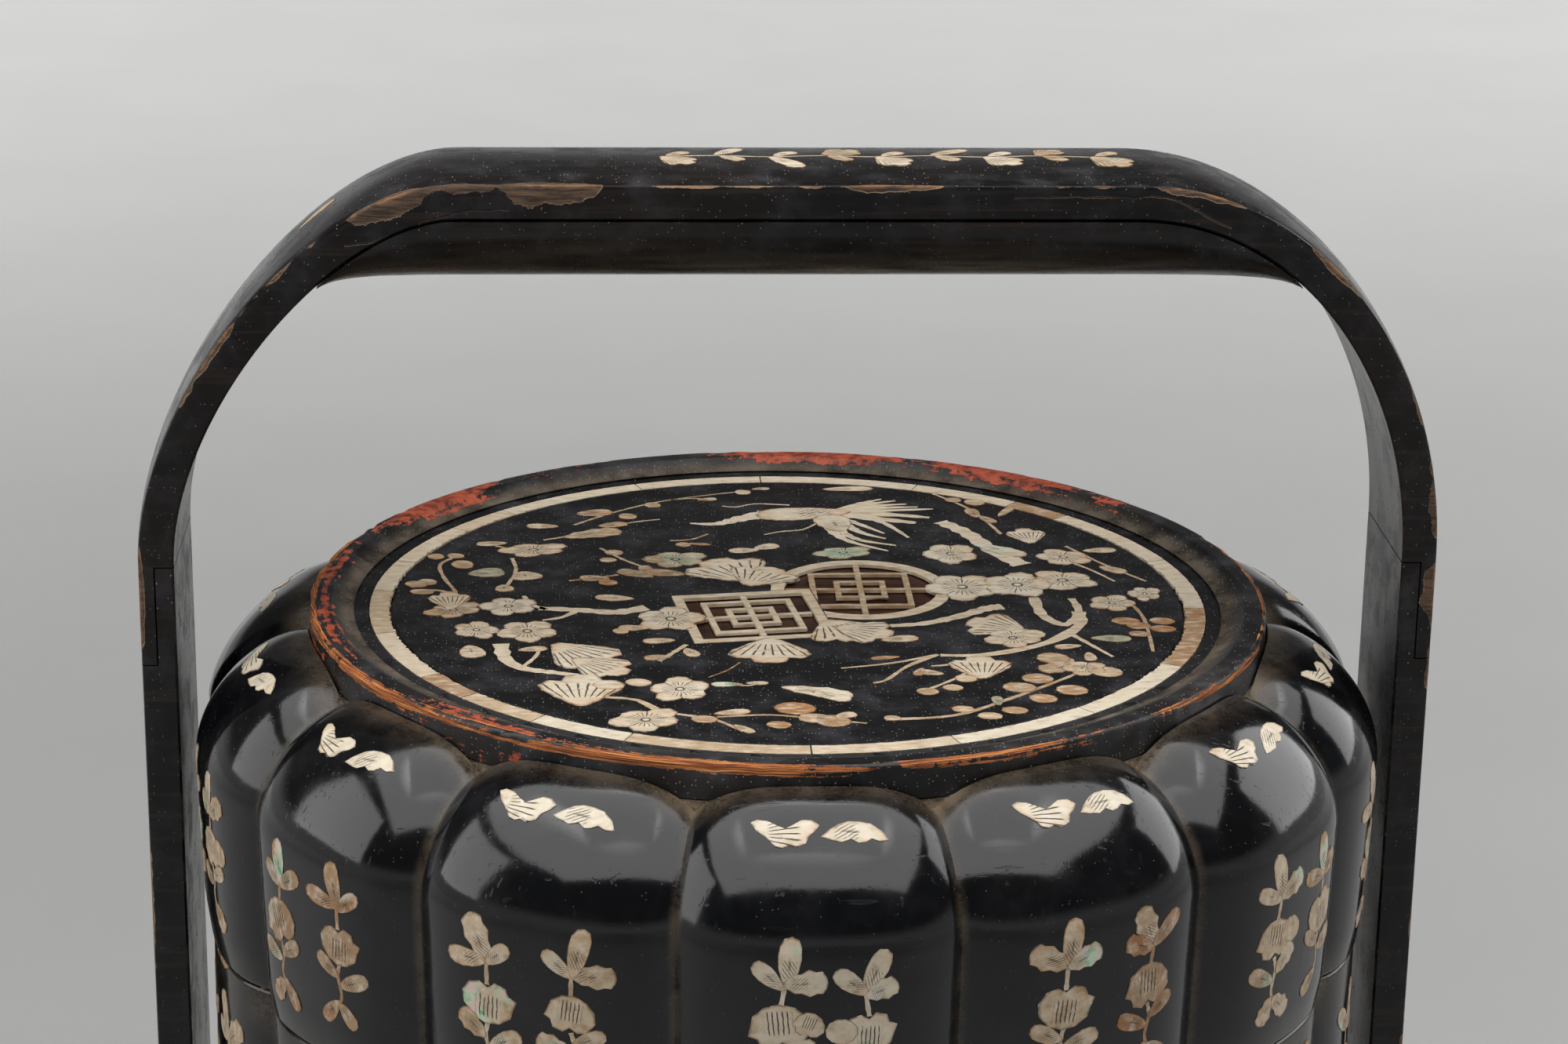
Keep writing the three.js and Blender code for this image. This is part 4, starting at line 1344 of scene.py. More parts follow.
# %% Panel, frets and frames
panel = smooth_copy("lid_panel_polished", "lid_panel", panel_lacquer, 30)
settle(panel, "lid", "black_lacquer", "lid_panel")
frame_nodes = ("square_plaque_frame", "square_plaque_fret", "round_plaque_frame")
for node in (*frame_nodes, "round_plaque_fret"):
    fret = smooth_copy(f"{node}_cut", node, mother_of_pearl, 30)
    tint = 0.62 if node == "round_plaque_fret" else 0.3
    write_numbers(fret.data, "tint", [tint] * len(fret.data.vertices))
    settle(fret, "lid", "mother_of_pearl", node)

# %% [markdown]
# ## Inlay: the cut shapes
#
# The shell is sawn into small flat shapes: blossoms, leaves, buds, and the winged pairs that sit on
# the shoulders. Each is drawn once, as an outline round its own middle, and made a thin plate with
# a ring of points half way in, so that it can bend over a lobe. The plates are then only placed,
# turned and sized, which is what instances are for.

# %% Outlines of the cut shapes
def blossom_outline(petals, steps, wander=0.05):
    """Petals are circles set round the middle; the outline is how far out they reach."""
    outline = []
    for i in range(petals * steps):
        swing = (i % steps - steps / 2) * 2 * math.pi / petals / steps
        reach = 0.55 * math.cos(swing) + math.sqrt(0.2025 - (0.55 * math.sin(swing)) ** 2)
        angle = i * 2 * math.pi / petals / steps
        reach *= 1 + wander * (math.sin(2 * angle + 1) + 0.6 * math.sin(3 * angle))
        outline.append((reach * math.cos(angle), reach * math.sin(angle)))
    return outline


def leaf_outline(half_width, steps, teeth=0.0):
    """A leaf along X, broad towards its tip, with a notched edge where teeth is more than 0."""
    upper = []
    for i in range(steps + 1):
        s = 1 - i / steps
        width = half_width * math.sin(math.pi * s ** 1.35) ** 0.85 * (1 - teeth * (i % 2))
        upper.append((math.sin((s - 0.5) * math.pi), width))
    return upper + [(x, -0.88 * y - 0.04 * half_width) for x, y in reversed(upper[1:-1])]


def polar_outline(text):
    """An outline from its reach in evenly spaced directions."""
    reaches = [float(number) for number in text.split()]
    turns = [i * 2 * math.pi / len(reaches) for i in range(len(reaches))]
    return [(r * math.cos(turn), r * math.sin(turn)) for r, turn in zip(reaches, turns)]


def places(text):
    """Pairs of numbers, written as x,y with a space between two pairs."""
    return [tuple(float(number) for number in pair.split(",")) for pair in text.split()]


# %% Shapes that are cut from the shell
# each shape's outline, and the lines that are engraved on it
cut_shapes = {
    "blossom": (blossom_outline(5, 4), "blossom"),
    "loose_blossom": (blossom_outline(5, 4, 0.11), "blossom"),
    "leaf": (leaf_outline(0.42, 7), "leaf"),
    "slim_leaf": (leaf_outline(0.26, 6), "plain"),
    "toothed_leaf": (leaf_outline(0.58, 9, 0.2), "leaf"),
    "bud": (polar_outline("1 0.94 0.9 0.92 1 1.02 0.98 0.9 0.88 0.92 0.97 1.03"), "plain"),
    "fan": (places("""
        -1,-0.1 -0.5,-0.5 0,-0.86 0.36,-0.95 0.6,-0.74 0.62,-0.46 0.92,-0.34 1,0.02 0.9,0.36
        0.58,0.44 0.62,0.74 0.3,0.95 -0.05,0.84 -0.52,0.5 -1,0.12
    """), "fan"),
    "fruit": (places("""
        1,0.3 0.72,0.42 0.6,0.72 0.2,0.82 -0.05,0.58 -0.36,0.74 -0.74,0.6 -0.98,0.16 -0.9,-0.3
        -0.55,-0.68 -0.05,-0.85 0.42,-0.74 0.8,-0.42 0.9,-0.02
    """), "bud"),
    "moth": (places("""
        1,0.1 0.8,0.32 0.5,0.36 0.2,0.18 0,0.08 -0.2,0.2 -0.5,0.44 -0.8,0.54 -1,0.46 -0.84,0.12
        -0.6,-0.14 -0.44,-0.34 -0.34,-0.56 -0.12,-0.62 0.04,-0.54 0.26,-0.64 0.54,-0.52
        0.66,-0.26 0.86,-0.1
    """), "fan"),
    "wing": (places("""
        1,-0.2 0.82,0.1 0.5,0.32 0.15,0.38 -0.2,0.36 -0.5,0.24 -0.8,0 -1,-0.22 -0.72,-0.3
        -0.4,-0.36 -0.12,-0.24 0.1,-0.36 0.3,-0.32 0.5,-0.18 0.74,-0.26
    """), "leaf"),
}
shape_names = list(cut_shapes)
proud = 0.1 * mm
sunk = 0.35 * mm


# %% Plates
def cut_plate(name, outline, carving):
    """A thin closed plate from an outline that reaches 1 from its middle."""
    count = len(outline)
    half_in = [(x / 2, y / 2) for x, y in outline]
    points = [(0, 0, proud)] + [(x, y, proud) for x, y in half_in + outline]
    points += [(x, y, -sunk) for x, y in outline]
    faces = []
    for i in range(count):
        after = (i + 1) % count
        middle, upper, lower = [(1 + n * count + i, 1 + n * count + after) for n in range(3)]
        faces.append((0, *middle))
        faces.append((middle[0], *upper, middle[1]))
        faces.append((upper[0], *lower, upper[1]))
    faces.append(tuple(1 + 2 * count + i for i in reversed(range(count))))
    edge = [0.0] + [0.35] * count + [1.0] * (2 * count)
    lines = [carvings[carving]] * len(points)
    plate = mesh_object(name, points, faces=faces, carving=lines, edge=edge)
    corners = [points[loop.vertex_index] for loop in plate.data.loops]
    write_uvs(plate.data, [(x / 2 + 0.5, y / 2 + 0.5) for x, y, _ in corners])
    smooth(plate.data, 40)
    return plate


cut_box = bpy.data.collections.new("cut_shapes")
for number, (name, (outline, carving)) in enumerate(cut_shapes.items()):
    plate = cut_plate(f"cut_{number:02d}_{name}", outline, carving)
    bpy.context.scene.collection.objects.unlink(plate)
    cut_box.objects.link(plate)
print("cut shapes:", shape_names)

# %% [markdown]
# ## Inlay: placing and bending the shapes
#
# Two trees do the work. The first puts a cut shape on every point of a cloud, as the point's own
# numbers say, and joins the twigs to them, still flat. The second bends a flat design over the
# lobes: its X becomes the way round, its Y the way up an outline, its Z stands out from the wood.
# It knows the lobes by the same rule that carved them.

# %% The tree that places the shapes
placing, entry = geometry_tree(
    "Placing cut shapes",
    {"Shapes": "NodeSocketCollection", "Twigs": "NodeSocketObject", "Finish": "NodeSocketMaterial"},
)
whole_box = {"Collection": entry.out("Shapes"), "Separate Children": True, "Reset Children": True}
shapes = placing.add("GeometryNodeCollectionInfo", {}, whole_box)
placed = placing.add(
    "GeometryNodeInstanceOnPoints",
    {},
    {
        "Points": placing.add("GeometryNodeMeshToPoints", {}, {0: entry}),
        "Instance": shapes,
        "Pick Instance": True,
        "Instance Index": own_number(placing, "shape", "INT"),
        "Rotation": placing.add("ShaderNodeCombineXYZ", {}, {"Z": own_number(placing, "turn")}),
        "Scale": own_number(placing, "size", "FLOAT_VECTOR"),
    },
)
twigs = placing.add("GeometryNodeObjectInfo", {}, {"Object": entry.out("Twigs")}, "Geometry")
both = placing.add("GeometryNodeJoinGeometry", {}, {})
for part in (placing.add("GeometryNodeRealizeInstances", {}, {0: placed}), twigs):
    placing.put(part, both.socket.node.inputs[0])
finish_tree(placing, entry, both)

# %% The tree that bends a flat design over the lobes
bending, entry = geometry_tree(
    "Bending over lobes",
    {
        "Outline": "NodeSocketObject",
        "Lobes": "NodeSocketInt",
        "Roundness": "NodeSocketFloat",
        "Girth radius": "NodeSocketFloat",
        "Finish": "NodeSocketMaterial",
    },
)
run, climb, proud_of = bending.add("GeometryNodeInputPosition", {}, {}).parts()
outline_mesh = bending.add("GeometryNodeObjectInfo", {}, {"Object": entry.out("Outline")})
outline_curve = bending.add("GeometryNodeMeshToCurve", {}, {"Mesh": outline_mesh.out("Geometry")})
pulls = own_number(bending, "pulls", "FLOAT_VECTOR")
sample = bending.add(
    "GeometryNodeSampleCurve",
    {"mode": "LENGTH", "data_type": "FLOAT_VECTOR", "use_all_curves": True},
    {"Curves": outline_curve, "Value": pulls, "Length": climb},
)
pull_in, pull_down, _ = sample.parts()
radius, _, height = sample.out("Position").parts()
slope_out, _, slope_up = sample.out("Tangent").parts()
angle = run / entry.out("Girth radius")
turn = angle * entry.out("Lobes") / (2 * math.pi)
groove = groove_rule(turn, entry.out("Roundness"))
reach = radius - pull_in * groove + proud_of * slope_up
rise = height - pull_down * groove - proud_of * slope_out
moved = {"Geometry": entry, "Position": around_axis(reach, angle, rise)}
finish_tree(bending, entry, bending.add("GeometryNodeSetPosition", {}, moved))
print("trees:", [tree.name for tree in bpy.data.node_groups])


# %% A flat design that grows shape by shape
class Design:
    """A flat design in millimetres: cut shapes on points, and twigs as thin strips."""

    def __init__(self, seed):
        self.random = random.Random(seed)
        self.rows = []
        self.twig_points, self.twig_faces, self.twig_tints = [], [], []

    def shape(self, name, x, y, length, turn, width=None, tint=0.2, fire=0.0):
        """One cut shape; length and width are half sizes. Each lies a hair higher than the last."""
        lift = len(self.rows) % 9 * 0.006
        number = shape_names.index(name)
        self.rows.append((x, y, lift, number, turn, length, width or length, tint, fire))

    def twig(self, points, start_width, end_width, tint=0.5):
        """A tapered strip along smoothed points."""
        line = smooth_line(points)
        first = len(self.twig_points)
        top = (proud / mm) * (0.3 + 0.05 * (first // 4 % 9))
        last = len(line) - 1
        for i, (x, y) in enumerate(line):
            (x0, y0), (x1, y1) = line[max(i - 1, 0)], line[min(i + 1, last)]
            along = math.hypot(x1 - x0, y1 - y0) or 1
            side_x, side_y = -(y1 - y0) / along, (x1 - x0) / along
            half = (start_width + (end_width - start_width) * i / last) / 2
            half *= 1 + 0.18 * math.sin(i * 2.3 + x)
            for sign, z in ((1, top), (-1, top), (-1, -sunk / mm), (1, -sunk / mm)):
                self.twig_points.append((x + side_x * half * sign, y + side_y * half * sign, z))
                self.twig_tints.append(tint)
        for row in range(first, first + 4 * last, 4):
            for a, b in ((0, 1), (1, 2), (2, 3), (3, 0)):
                self.twig_faces.append((row + a, row + b, row + b + 4, row + a + 4))
        row = first + 4 * last
        self.twig_faces.append((first + 3, first + 2, first + 1, first))
        self.twig_faces.append((row, row + 1, row + 2, row + 3))

    def cut(self, name, height=0.0):
        """Runs the placing tree; the result is one flat mesh in metres."""
        rows = np.array(self.rows, float)
        points = rows[:, :3] * mm + (0, 0, height)
        sizes = np.column_stack([rows[:, 5:7] * mm, np.ones(len(rows))])
        turns, tints, fires = rows[:, 4], rows[:, 7], rows[:, 8]
        cloud = mesh_object(name, points, turn=turns, size=sizes, tint=tints, fire=fires)
        shape_numbers = cloud.data.attributes.new("shape", "INT", "POINT")
        shape_numbers.data.foreach_set("value", rows[:, 3].astype(np.int32))
        twigs = mesh_object(
            f"{name}_twigs",
            np.array(self.twig_points) * mm + (0, 0, height),
            faces=self.twig_faces,
            tint=self.twig_tints,
            carving=[carvings["plain"]] * len(self.twig_points),
        )
        settings = {"Shapes": cut_box, "Twigs": twigs, "Finish": mother_of_pearl}
        cut = run_tree(cloud, placing, settings)
        bpy.data.objects.remove(twigs)
        for spent in ("turn", "size", "shape"):
            if spent in cut.data.attributes:
                cut.data.attributes.remove(cut.data.attributes[spent])
        return cut


def smooth_line(points, steps=5):
    """A Catmull-Rom line through points."""
    ends = [points[0], *points, points[-1]]
    line = []
    for quad in zip(ends, ends[1:], ends[2:], ends[3:]):
        for i in range(steps):
            t = i / steps
            place = []
            for a, b, c, d in zip(*quad):
                curve, twist = 2 * a - 5 * b + 4 * c - d, 3 * b - a - 3 * c + d
                place.append(0.5 * (2 * b + (c - a) * t + curve * t * t + twist * t ** 3))
            line.append(tuple(place))
    return [*line, tuple(points[-1])]


# %% [markdown]
# ### Blossom branches on the panel
#
# The panel is filled edge to edge with flowering branches and a crane in flight, a pattern that
# many workshops cut. The two framed plaques lie over its middle, and large petals seem to come out
# from under them. It is drawn as two tables, in millimetres from the panel's middle.

# %% Panel design
# start width, end width, tint, then the points of the twig
panel_twigs = """
0.7 5.4 0.12 -20,55 -14,54.4 -8.5,58 -2,62
0.5 0.6 0.4 -3,46.3 1,48.5 6.2,50 10.5,56
0.4 0.7 0.3 -12,68 -8.7,67.2 -4,69.6 4,68.5
3.2 0.5 0.1 15.5,64 21,69.5 26.2,73
3.2 0.5 0.16 16,64 23,69 29.4,71.6
3.4 0.5 0.1 16,63.5 24,67.5 31.9,69
3.4 0.5 0.18 16,63 25,66 34.4,66.8
3.6 0.6 0.1 16,62.5 26,64 37.9,65.2
4.2 1.2 0.2 16,62 27,61 36.4,58.6
4.2 1.6 0.14 16,61 25,57.5 32.9,54.6
3.4 0.6 0.1 12.5,57 12.8,49 16.5,41 24.8,34
3.4 0.6 0.16 13.5,57 15,48.5 19,42 26.9,38
3.2 0.6 0.1 14.5,58 17.5,51 20.5,46.5 24.9,43
2.8 0.6 0.18 15,58.5 19,54.5 24.9,46.8
3.2 0.7 0.1 13.5,60 20,59.6 25.5,54.5 30.3,43.7
3.6 4.6 0.15 38.7,55.4 43.9,47.3 48.6,34.8 54.5,23.8
1.4 0.8 0.3 49,35 52,27 52,23
0.7 0.9 0.5 39,77 46,66 50,54 52,46
0.8 0.7 0.5 66,37 73,24 81,12
0.8 0.6 0.45 62,30 69,21 74,12
1.8 3.6 0.25 21.4,-16.8 28.6,-15.5 36.4,-11.2 43.1,-6.1 47,-4.7
2.6 1.6 0.3 54.5,1.2 55.2,-10.7 59.4,-16.7 63.3,-8.3 62.8,0.4
3 1.6 0.3 63.3,-8.3 62.2,-17.4 55.5,-26.7 47.6,-32.2 38.9,-35.5 30.5,-35.4
1.2 0.5 0.5 30,-35 20,-40 9,-43
1.2 0.7 0.5 30,-35 23,-42 18,-50 15,-52
1 0.7 0.4 39,-36 32,-41 28,-42
1.4 0.7 0.3 59,-21 63,-29 67,-37
0.8 0.8 0.45 25,-57 32,-50 35,-46
0.9 0.8 0.62 75,-1 77,-13 76,-34
1.3 0.8 0.62 16,-73 30,-71 42,-62 53,-52 59,-46
2.2 3.6 0.2 -54.5,-4.3 -45.9,-5.5 -37.9,-7.1 -31.1,-4.2
1.6 0.8 0.3 -45.9,-5.5 -49.6,-10.2 -53.7,-12
1 1.4 0.3 -58,4 -56,-2 -53,-5
3.4 1.6 0.2 -62.4,-26.9 -61.3,-36 -57.7,-41.8 -51.8,-44.3 -45.9,-46.4
1 0.8 0.4 -58,-42 -55,-35 -54,-29
1.2 0.8 0.5 -42,-59 -34,-61 -28,-68 -19,-72 -13,-79
1 0.6 0.5 -34,-61 -31,-66 -28,-72
0.8 0.6 0.62 -18,-71 -7,-70 4,-73 12,-75
0.8 0.8 0.55 -41,37 -36,29 -31,23
0.7 0.6 0.7 -25,42 -20,43 -16,47
0.8 0.5 0.6 -47,54 -37,64 -24,73 -5,80
0.8 0.6 0.6 -54,43 -46,47 -35,55 -27,58
0.9 0.8 0.5 -61,30 -60,21 -62,10
1 0.8 0.62 -82,8 -77,8 -73,6 -76,17 -77,26 -73,32
1 1.2 0.45 -29,-38 -26,-33 -23,-28
0.7 0.7 0.5 -37,-16 -34,-17 -31,-14
0.7 0.7 0.72 -48,14 -42,16 -37,18
0.6 0.6 0.5 -16,-52 -11,-53 -8,-51
0.35 0.35 0.78 -19,-48 -15,-44 -12,-39
0.7 0.6 0.5 -61,36 -65,39 -68,41
0.6 0.6 0.6 -14,73 -19,74 -24,73
"""
# shape, x, y, half length, half width, turn in degrees, tint, play of colour
panel_shapes = """
leaf 18.6 81 6.2 4.6 2 0.12 0
leaf 7 62 11.5 12 186 0.12 0
leaf 13.8 54.5 6.5 11 100 0.1 0.1
toothed_leaf 50.5 34.3 7 5 -38 0.3 0.9
blossom 38.9 31.7 6.4 7.6 10 0.1 0
bud 48.2 70 2.6 2.6 0 0.5 0
leaf 47.1 61.7 3.6 4.2 100 0.6 0
leaf 49.8 56.9 3.2 3.6 -60 0.62 0
bud 43.2 71.8 2 2 0 0.6 0
slim_leaf 54.9 62.9 4.4 4.6 60 0.6 0
fan 57.9 44.6 5.6 5 95 0.2 0
blossom 64.5 28.9 5.4 7 70 0.25 0
leaf 73.4 33.6 4 4.6 5 0.35 0
leaf 74.6 19.9 3.6 4.6 -40 0.4 0
blossom 71.4 -2.8 5.4 5.6 30 0.2 0
loose_blossom 79.5 3.2 3.6 5.2 0 0.2 0.2
blossom 39.3 8.3 8.2 9.4 12 0.08 0
blossom 51.8 9.7 8 8.6 40 0.06 0
blossom 62.3 12.7 6.6 8.4 80 0.12 0
fan 44.2 -17.1 6.6 8 150 0.2 0
blossom 47 -25.1 6.4 6.2 20 0.22 0
bud 51.7 -22.7 2.6 3 0 0.3 0
fan 38.3 -43.1 6.8 7.2 88 0.15 0
leaf 27.4 -46 3 3.8 160 0.45 0
leaf 25.2 -45.6 2.4 3 250 0.6 0
bud 25.9 -57.3 2.4 2.2 0 0.62 0
bud 34.5 -49.8 2.4 2.4 0 0.4 0
bud 31.3 -55.1 2.2 2 0 0.5 0
slim_leaf 18.7 -36.9 3.2 4.4 190 0.7 0
leaf 22.7 -25.4 4.2 5.2 10 0.35 0
leaf 68.1 -25.8 4.4 5.2 -5 0.95 0.3
leaf 58.2 -30.6 3 3.6 190 0.3 0
leaf 62.1 -37 2.8 3.4 270 0.45 0
bud 54.2 -37.9 3.6 3.6 0 0.6 0
toothed_leaf 54.7 -43.4 4.6 5.6 200 0.62 0
blossom 60.1 -44.2 4.8 4.6 0 0.5 0.2
bud 64.5 -46.3 3.4 3.4 0 0.5 0.1
leaf 57.2 -40.7 2.8 3 80 0.55 0
bud 72.8 -14.7 3.2 2.6 0 0.75 0
bud 75.1 -17.6 2.8 2.4 0 0.78 0
bud 80.7 -14.8 2.9 2.5 0 0.76 0
bud 80.2 -19.9 2.9 2.4 0 0.8 0
bud 74.6 -23 2.4 2 0 0.74 0
bud 45.1 -55.3 3.6 3.2 0 0.62 0
bud 49.4 -50.1 3.4 3.2 0 0.7 0
bud 55.8 -56.9 3.4 3.2 0 0.62 0
bud 49.3 -61.7 3 2.8 0 0.66 0
leaf 39.8 -62.8 2.6 3 90 0.95 0
bud 42.7 -68.4 2.8 2.2 0 0.66 0
bud 37.3 -71.5 2.6 2.2 0 0.5 0
bud 32.2 -67.5 2.4 2 0 0.62 0
bud 17.4 -72.4 1.8 1.6 0 0.55 0
fan -11.9 20.8 8.6 11 118 0.1 0
fan -5.2 16.3 7 9 62 0.14 0
blossom -26 -11.7 7.6 8.2 190 0.16 0
fan -5.5 -32 7.8 9.4 -92 0.12 0
fan 10.9 -19.5 7.2 9.5 -62 0.18 0.1
fan 15.4 -20.3 6.6 7.5 -25 0.22 0
loose_blossom 14.4 32.8 6.8 4.6 10 0.95 0.1
loose_blossom -24 28.5 7 6.2 0 0.92 0.2
leaf -33.2 18.7 4.6 5.6 150 0.95 0
leaf -26.5 19 4.8 6 165 0.9 0
bud -37.9 33.5 2.2 2 0 0.6 0
bud -39.3 28.3 2 1.8 0 0.62 0
leaf -30.7 21 3.4 4 100 0.92 0
leaf -8.2 34.7 3.6 4.6 185 0.2 0
leaf -3 37.1 3.2 5 25 0.16 0
leaf -38 2.2 4.4 5 170 0.35 0.2
leaf -34.1 -17.4 3.4 4.4 175 0.4 0
bud -36.9 -19.5 1.8 1.8 0 0.5 0
leaf -28.8 -25.7 3.6 4.2 185 0.4 0
leaf -22.3 -33.1 2.8 4.2 -70 0.42 0
leaf -29.3 -35.8 3 4 190 0.62 0
fan -45.3 -34.2 9.2 8.6 -50 0.1 0.15
fan -41.5 -41.1 7.4 6.8 -40 0.16 0
leaf -55.6 -30.5 3.2 4 10 0.3 0
leaf -68.5 -31.7 4 7 -80 0.2 0
fan -45.3 -55.1 9.2 9.6 90 0.08 0
bud -39.8 -52.5 3.4 2.8 0 0.2 0
bud -33.6 -51 2.8 2.4 0 0.25 0
blossom -25.1 -55.1 7.2 6.6 60 0.1 0
leaf -15.3 -52.3 3.4 3.4 178 0.9 0.9
leaf -9 -51.7 2.4 2.6 0 0.4 0.5
toothed_leaf 3.1 -56.9 7.8 5.4 -22 0.1 0
leaf 5.9 -59.6 4.6 5 -35 0.14 0
loose_blossom -32.4 -72.4 7.2 6.8 15 0.3 0.15
bud -20.6 -72.3 2.8 2.2 0 0.6 0
leaf -14.8 -68.6 3.8 4 10 0.4 0
leaf -12.9 -77.8 3 3 -50 0.5 0
bud -2 -66.6 4.4 3.8 0 0.78 0
bud 5.3 -73.7 3.8 3.6 0 0.7 0
leaf 2.4 -72.1 4 6.4 170 0.6 0
bud -5.7 -75.7 2.6 2.2 0 0.74 0
leaf 8.1 -70.6 2.4 4.2 20 0.5 0
blossom -56.9 -19.2 6.6 7.2 20 0.3 0
blossom -61.2 -3 6.4 6.2 0 0.1 0
blossom -67.8 -18.3 4.8 6 40 0.2 0
loose_blossom -73.1 -5.4 6.4 5 20 0.55 0
fan -74.1 0.9 6 5 95 0.3 0
loose_blossom -56.2 35.8 7.6 5.2 5 0.35 0.1
leaf -65.8 40.4 3.6 4.2 185 0.5 0
leaf -54.3 53.1 3.8 4.6 175 0.5 0
toothed_leaf -42.8 47.1 7.2 6.2 20 0.6 0
leaf -38 53.8 3.6 4.6 15 0.62 0
leaf -42.2 62.8 4.4 6.4 10 0.65 0
bud -34.5 60.1 2.2 2.4 0 0.6 0
bud -28.5 68.7 2 2.2 0 0.65 0
leaf -15.4 72.9 2.4 3 8 0.6 0
leaf -2.2 81.3 2.2 2.6 5 0.5 0
bud -6.7 78.6 2 2 0 0.4 0
leaf -66.6 19.6 4.2 8 10 0.95 0.2
leaf -57.8 17.5 3 9 -75 0.4 0
leaf -62.4 9.1 2.4 5.4 -85 0.45 0
bud -78.3 31.2 2 2.2 0 0.62 0
bud -73.8 31.6 2 2 0 0.6 0
bud -72.1 25.5 2.6 3.2 0 0.6 0
bud -81.9 12 2.6 2.4 0 0.62 0
bud -80.5 7 2.8 2 0 0.6 0
bud -79.5 13.5 2.2 2.4 0 0.6 0
leaf -42.4 15.7 3.4 5 175 0.85 0
bud -39.4 12.6 2.2 2.2 0 0.8 0
bud -22 39 1.8 1.8 0 0.7 0
slim_leaf -18.4 39.3 2.8 3.4 -10 0.7 0
"""
design = Design(11)
for row in panel_twigs.strip().split("\n"):
    start_width, end_width, tint, line = row.split(" ", 3)
    design.twig(places(line), float(start_width), float(end_width), float(tint))
for row in panel_shapes.strip().split("\n"):
    name, *numbers = row.split()
    x, y, length, width, turn, tint, fire = (float(number) for number in numbers)
    design.shape(name, x, y, length, math.radians(turn), width, tint, fire)
panel_inlay = design.cut("panel_inlay", panel_top)
settle(outward(panel_inlay), "lid", "mother_of_pearl")
print(len(design.rows), "cut shapes on the panel")

# %% [markdown]
# ### Sprigs on the lobes
#
# Every lobe carries two sprigs, a hatched fruit under three leaves with more leaves below, and on
# the lid's shoulder a pair of winged leaves. No two are quite the same, because each was sawn by
# hand: the sizes, tints and turns vary a little with a fixed seed.

# %% Sprigs
def add_sprig(design, x, y, unit, mirror):
    """A sprig whose stem meets its fruit at (x, y); unit is its size, 1 for the largest."""
    vary = design.random.uniform
    choice = design.random.choice
    tint = choice([0.12, 0.3, 0.42, 0.5, 0.62, 0.74])
    flip = -1 if mirror else 1

    def put(name, dx, dy, length, turn, width, fire=0.0):
        turn = math.pi - turn if mirror else turn
        own_tint = min(1.0, max(0.0, tint + vary(-0.16, 0.16)))
        place = (x + flip * dx * unit, y + dy * unit)
        turn += vary(-0.15, 0.15)
        design.shape(name, *place, length * unit, turn, width * unit, own_tint, fire)

    def leaf_from(base, direction, length, width, fire=0.0):
        reach = 0.94 * length
        place = (base[0] + math.cos(direction) * reach, base[1] + math.sin(direction) * reach)
        put(choice(["leaf", "leaf", "toothed_leaf"]), *place, length, direction, width, fire)

    def stem(*points):
        line = [(x + flip * px * unit, y + py * unit) for px, py in points]
        design.twig(line, 1.1 * unit, 0.8 * unit, tint)

    bright = choice([0, 1, 2, 3])
    fires = [1.0 if bright == i else vary(0, 0.5) for i in range(4)]
    joint = (vary(-0.8, 0.8), 4.6)
    lean = vary(-0.35, 0.45)
    stem((0.2, -0.5), joint, (joint[0] + 0.3, joint[1] + 1.2))
    leaf_from(joint, math.pi / 2 - lean, vary(5.4, 6.4), 6.2, fires[0])
    leaf_from(joint, 2.75 - lean, vary(4.6, 5.8), 5.6, fires[1])
    leaf_from(joint, 0.5 - lean * 0.6, vary(3.6, 4.8), 5.0, fires[2])
    put("fruit", 0.4, -4.6, vary(6.0, 7.0), vary(-0.25, 0.25), vary(5.6, 6.6), fires[3])
    if vary(0, 1) < 0.5:
        put(choice(["bud", "fruit"]), -5.8, -4.0, 3.6, 0.3, 3.4)
    stem((0.3, -9), (-0.5, -12.5), (0.4, -17), (-0.6, -20))
    leaf_from((-0.4, -12.5), 2.6, 4.2, 5.0)
    leaf_from((0.2, -14.5), 0.35, 4.6, 5.4, vary(0, 0.8))
    leaf_from((-0.4, -19), 3.9, 4.2, 5.0)
    if vary(0, 1) < 0.7:
        leaf_from((-0.2, -19), -0.9, 3.8, 4.8)


# %% Inlay of the lid and the boxes
def lobed_inlay(name, design, outline):
    """Bends a flat design over an outline of a lobed piece."""
    guide = outline_object(f"{name}_guide", outline)
    settings = {
        "Outline": guide,
        "Lobes": lobes,
        "Roundness": lobe_roundness,
        "Girth radius": body_radius,
        "Finish": mother_of_pearl,
    }
    piece = run_tree(design.cut(name), bending, settings)
    bpy.data.objects.remove(guide)
    return piece


lobe_pitch = 2 * math.pi * body_radius / lobes / mm
run_to_shoulder = shoulder_base / mm
lid_design = Design(23)
vary = lid_design.random.uniform
for lobe in range(lobes):
    middle = lobe * lobe_pitch
    for aside, unit, mirror in ((-8.4, 0.92, lobe % 2 == 0), (10, 0.88, lobe % 2 == 1)):
        x, y = middle + aside + vary(-1, 1), run_to_shoulder - 9.5 + vary(-1, 1)
        add_sprig(lid_design, x, y, unit, mirror)
    run = run_to_shoulder + 26.5
    turn, fire = vary(-0.15, 0.1), vary(0, 0.3)
    lid_design.shape("moth", middle - 7.2, run + 0.4, 7.4, turn, 6.0, 0.02, fire)
    turn, fire = vary(-0.1, 0.2), vary(0, 0.4)
    lid_design.shape("wing", middle + 7.6, run, 7.2, turn, 6.6, 0.02, fire)
lid_inlay = lobed_inlay("lid_inlay", lid_design, lid_outside)
settle(lid_inlay, "lid", "mother_of_pearl")
print(len(lid_design.rows), "cut shapes on the lid's lobes")

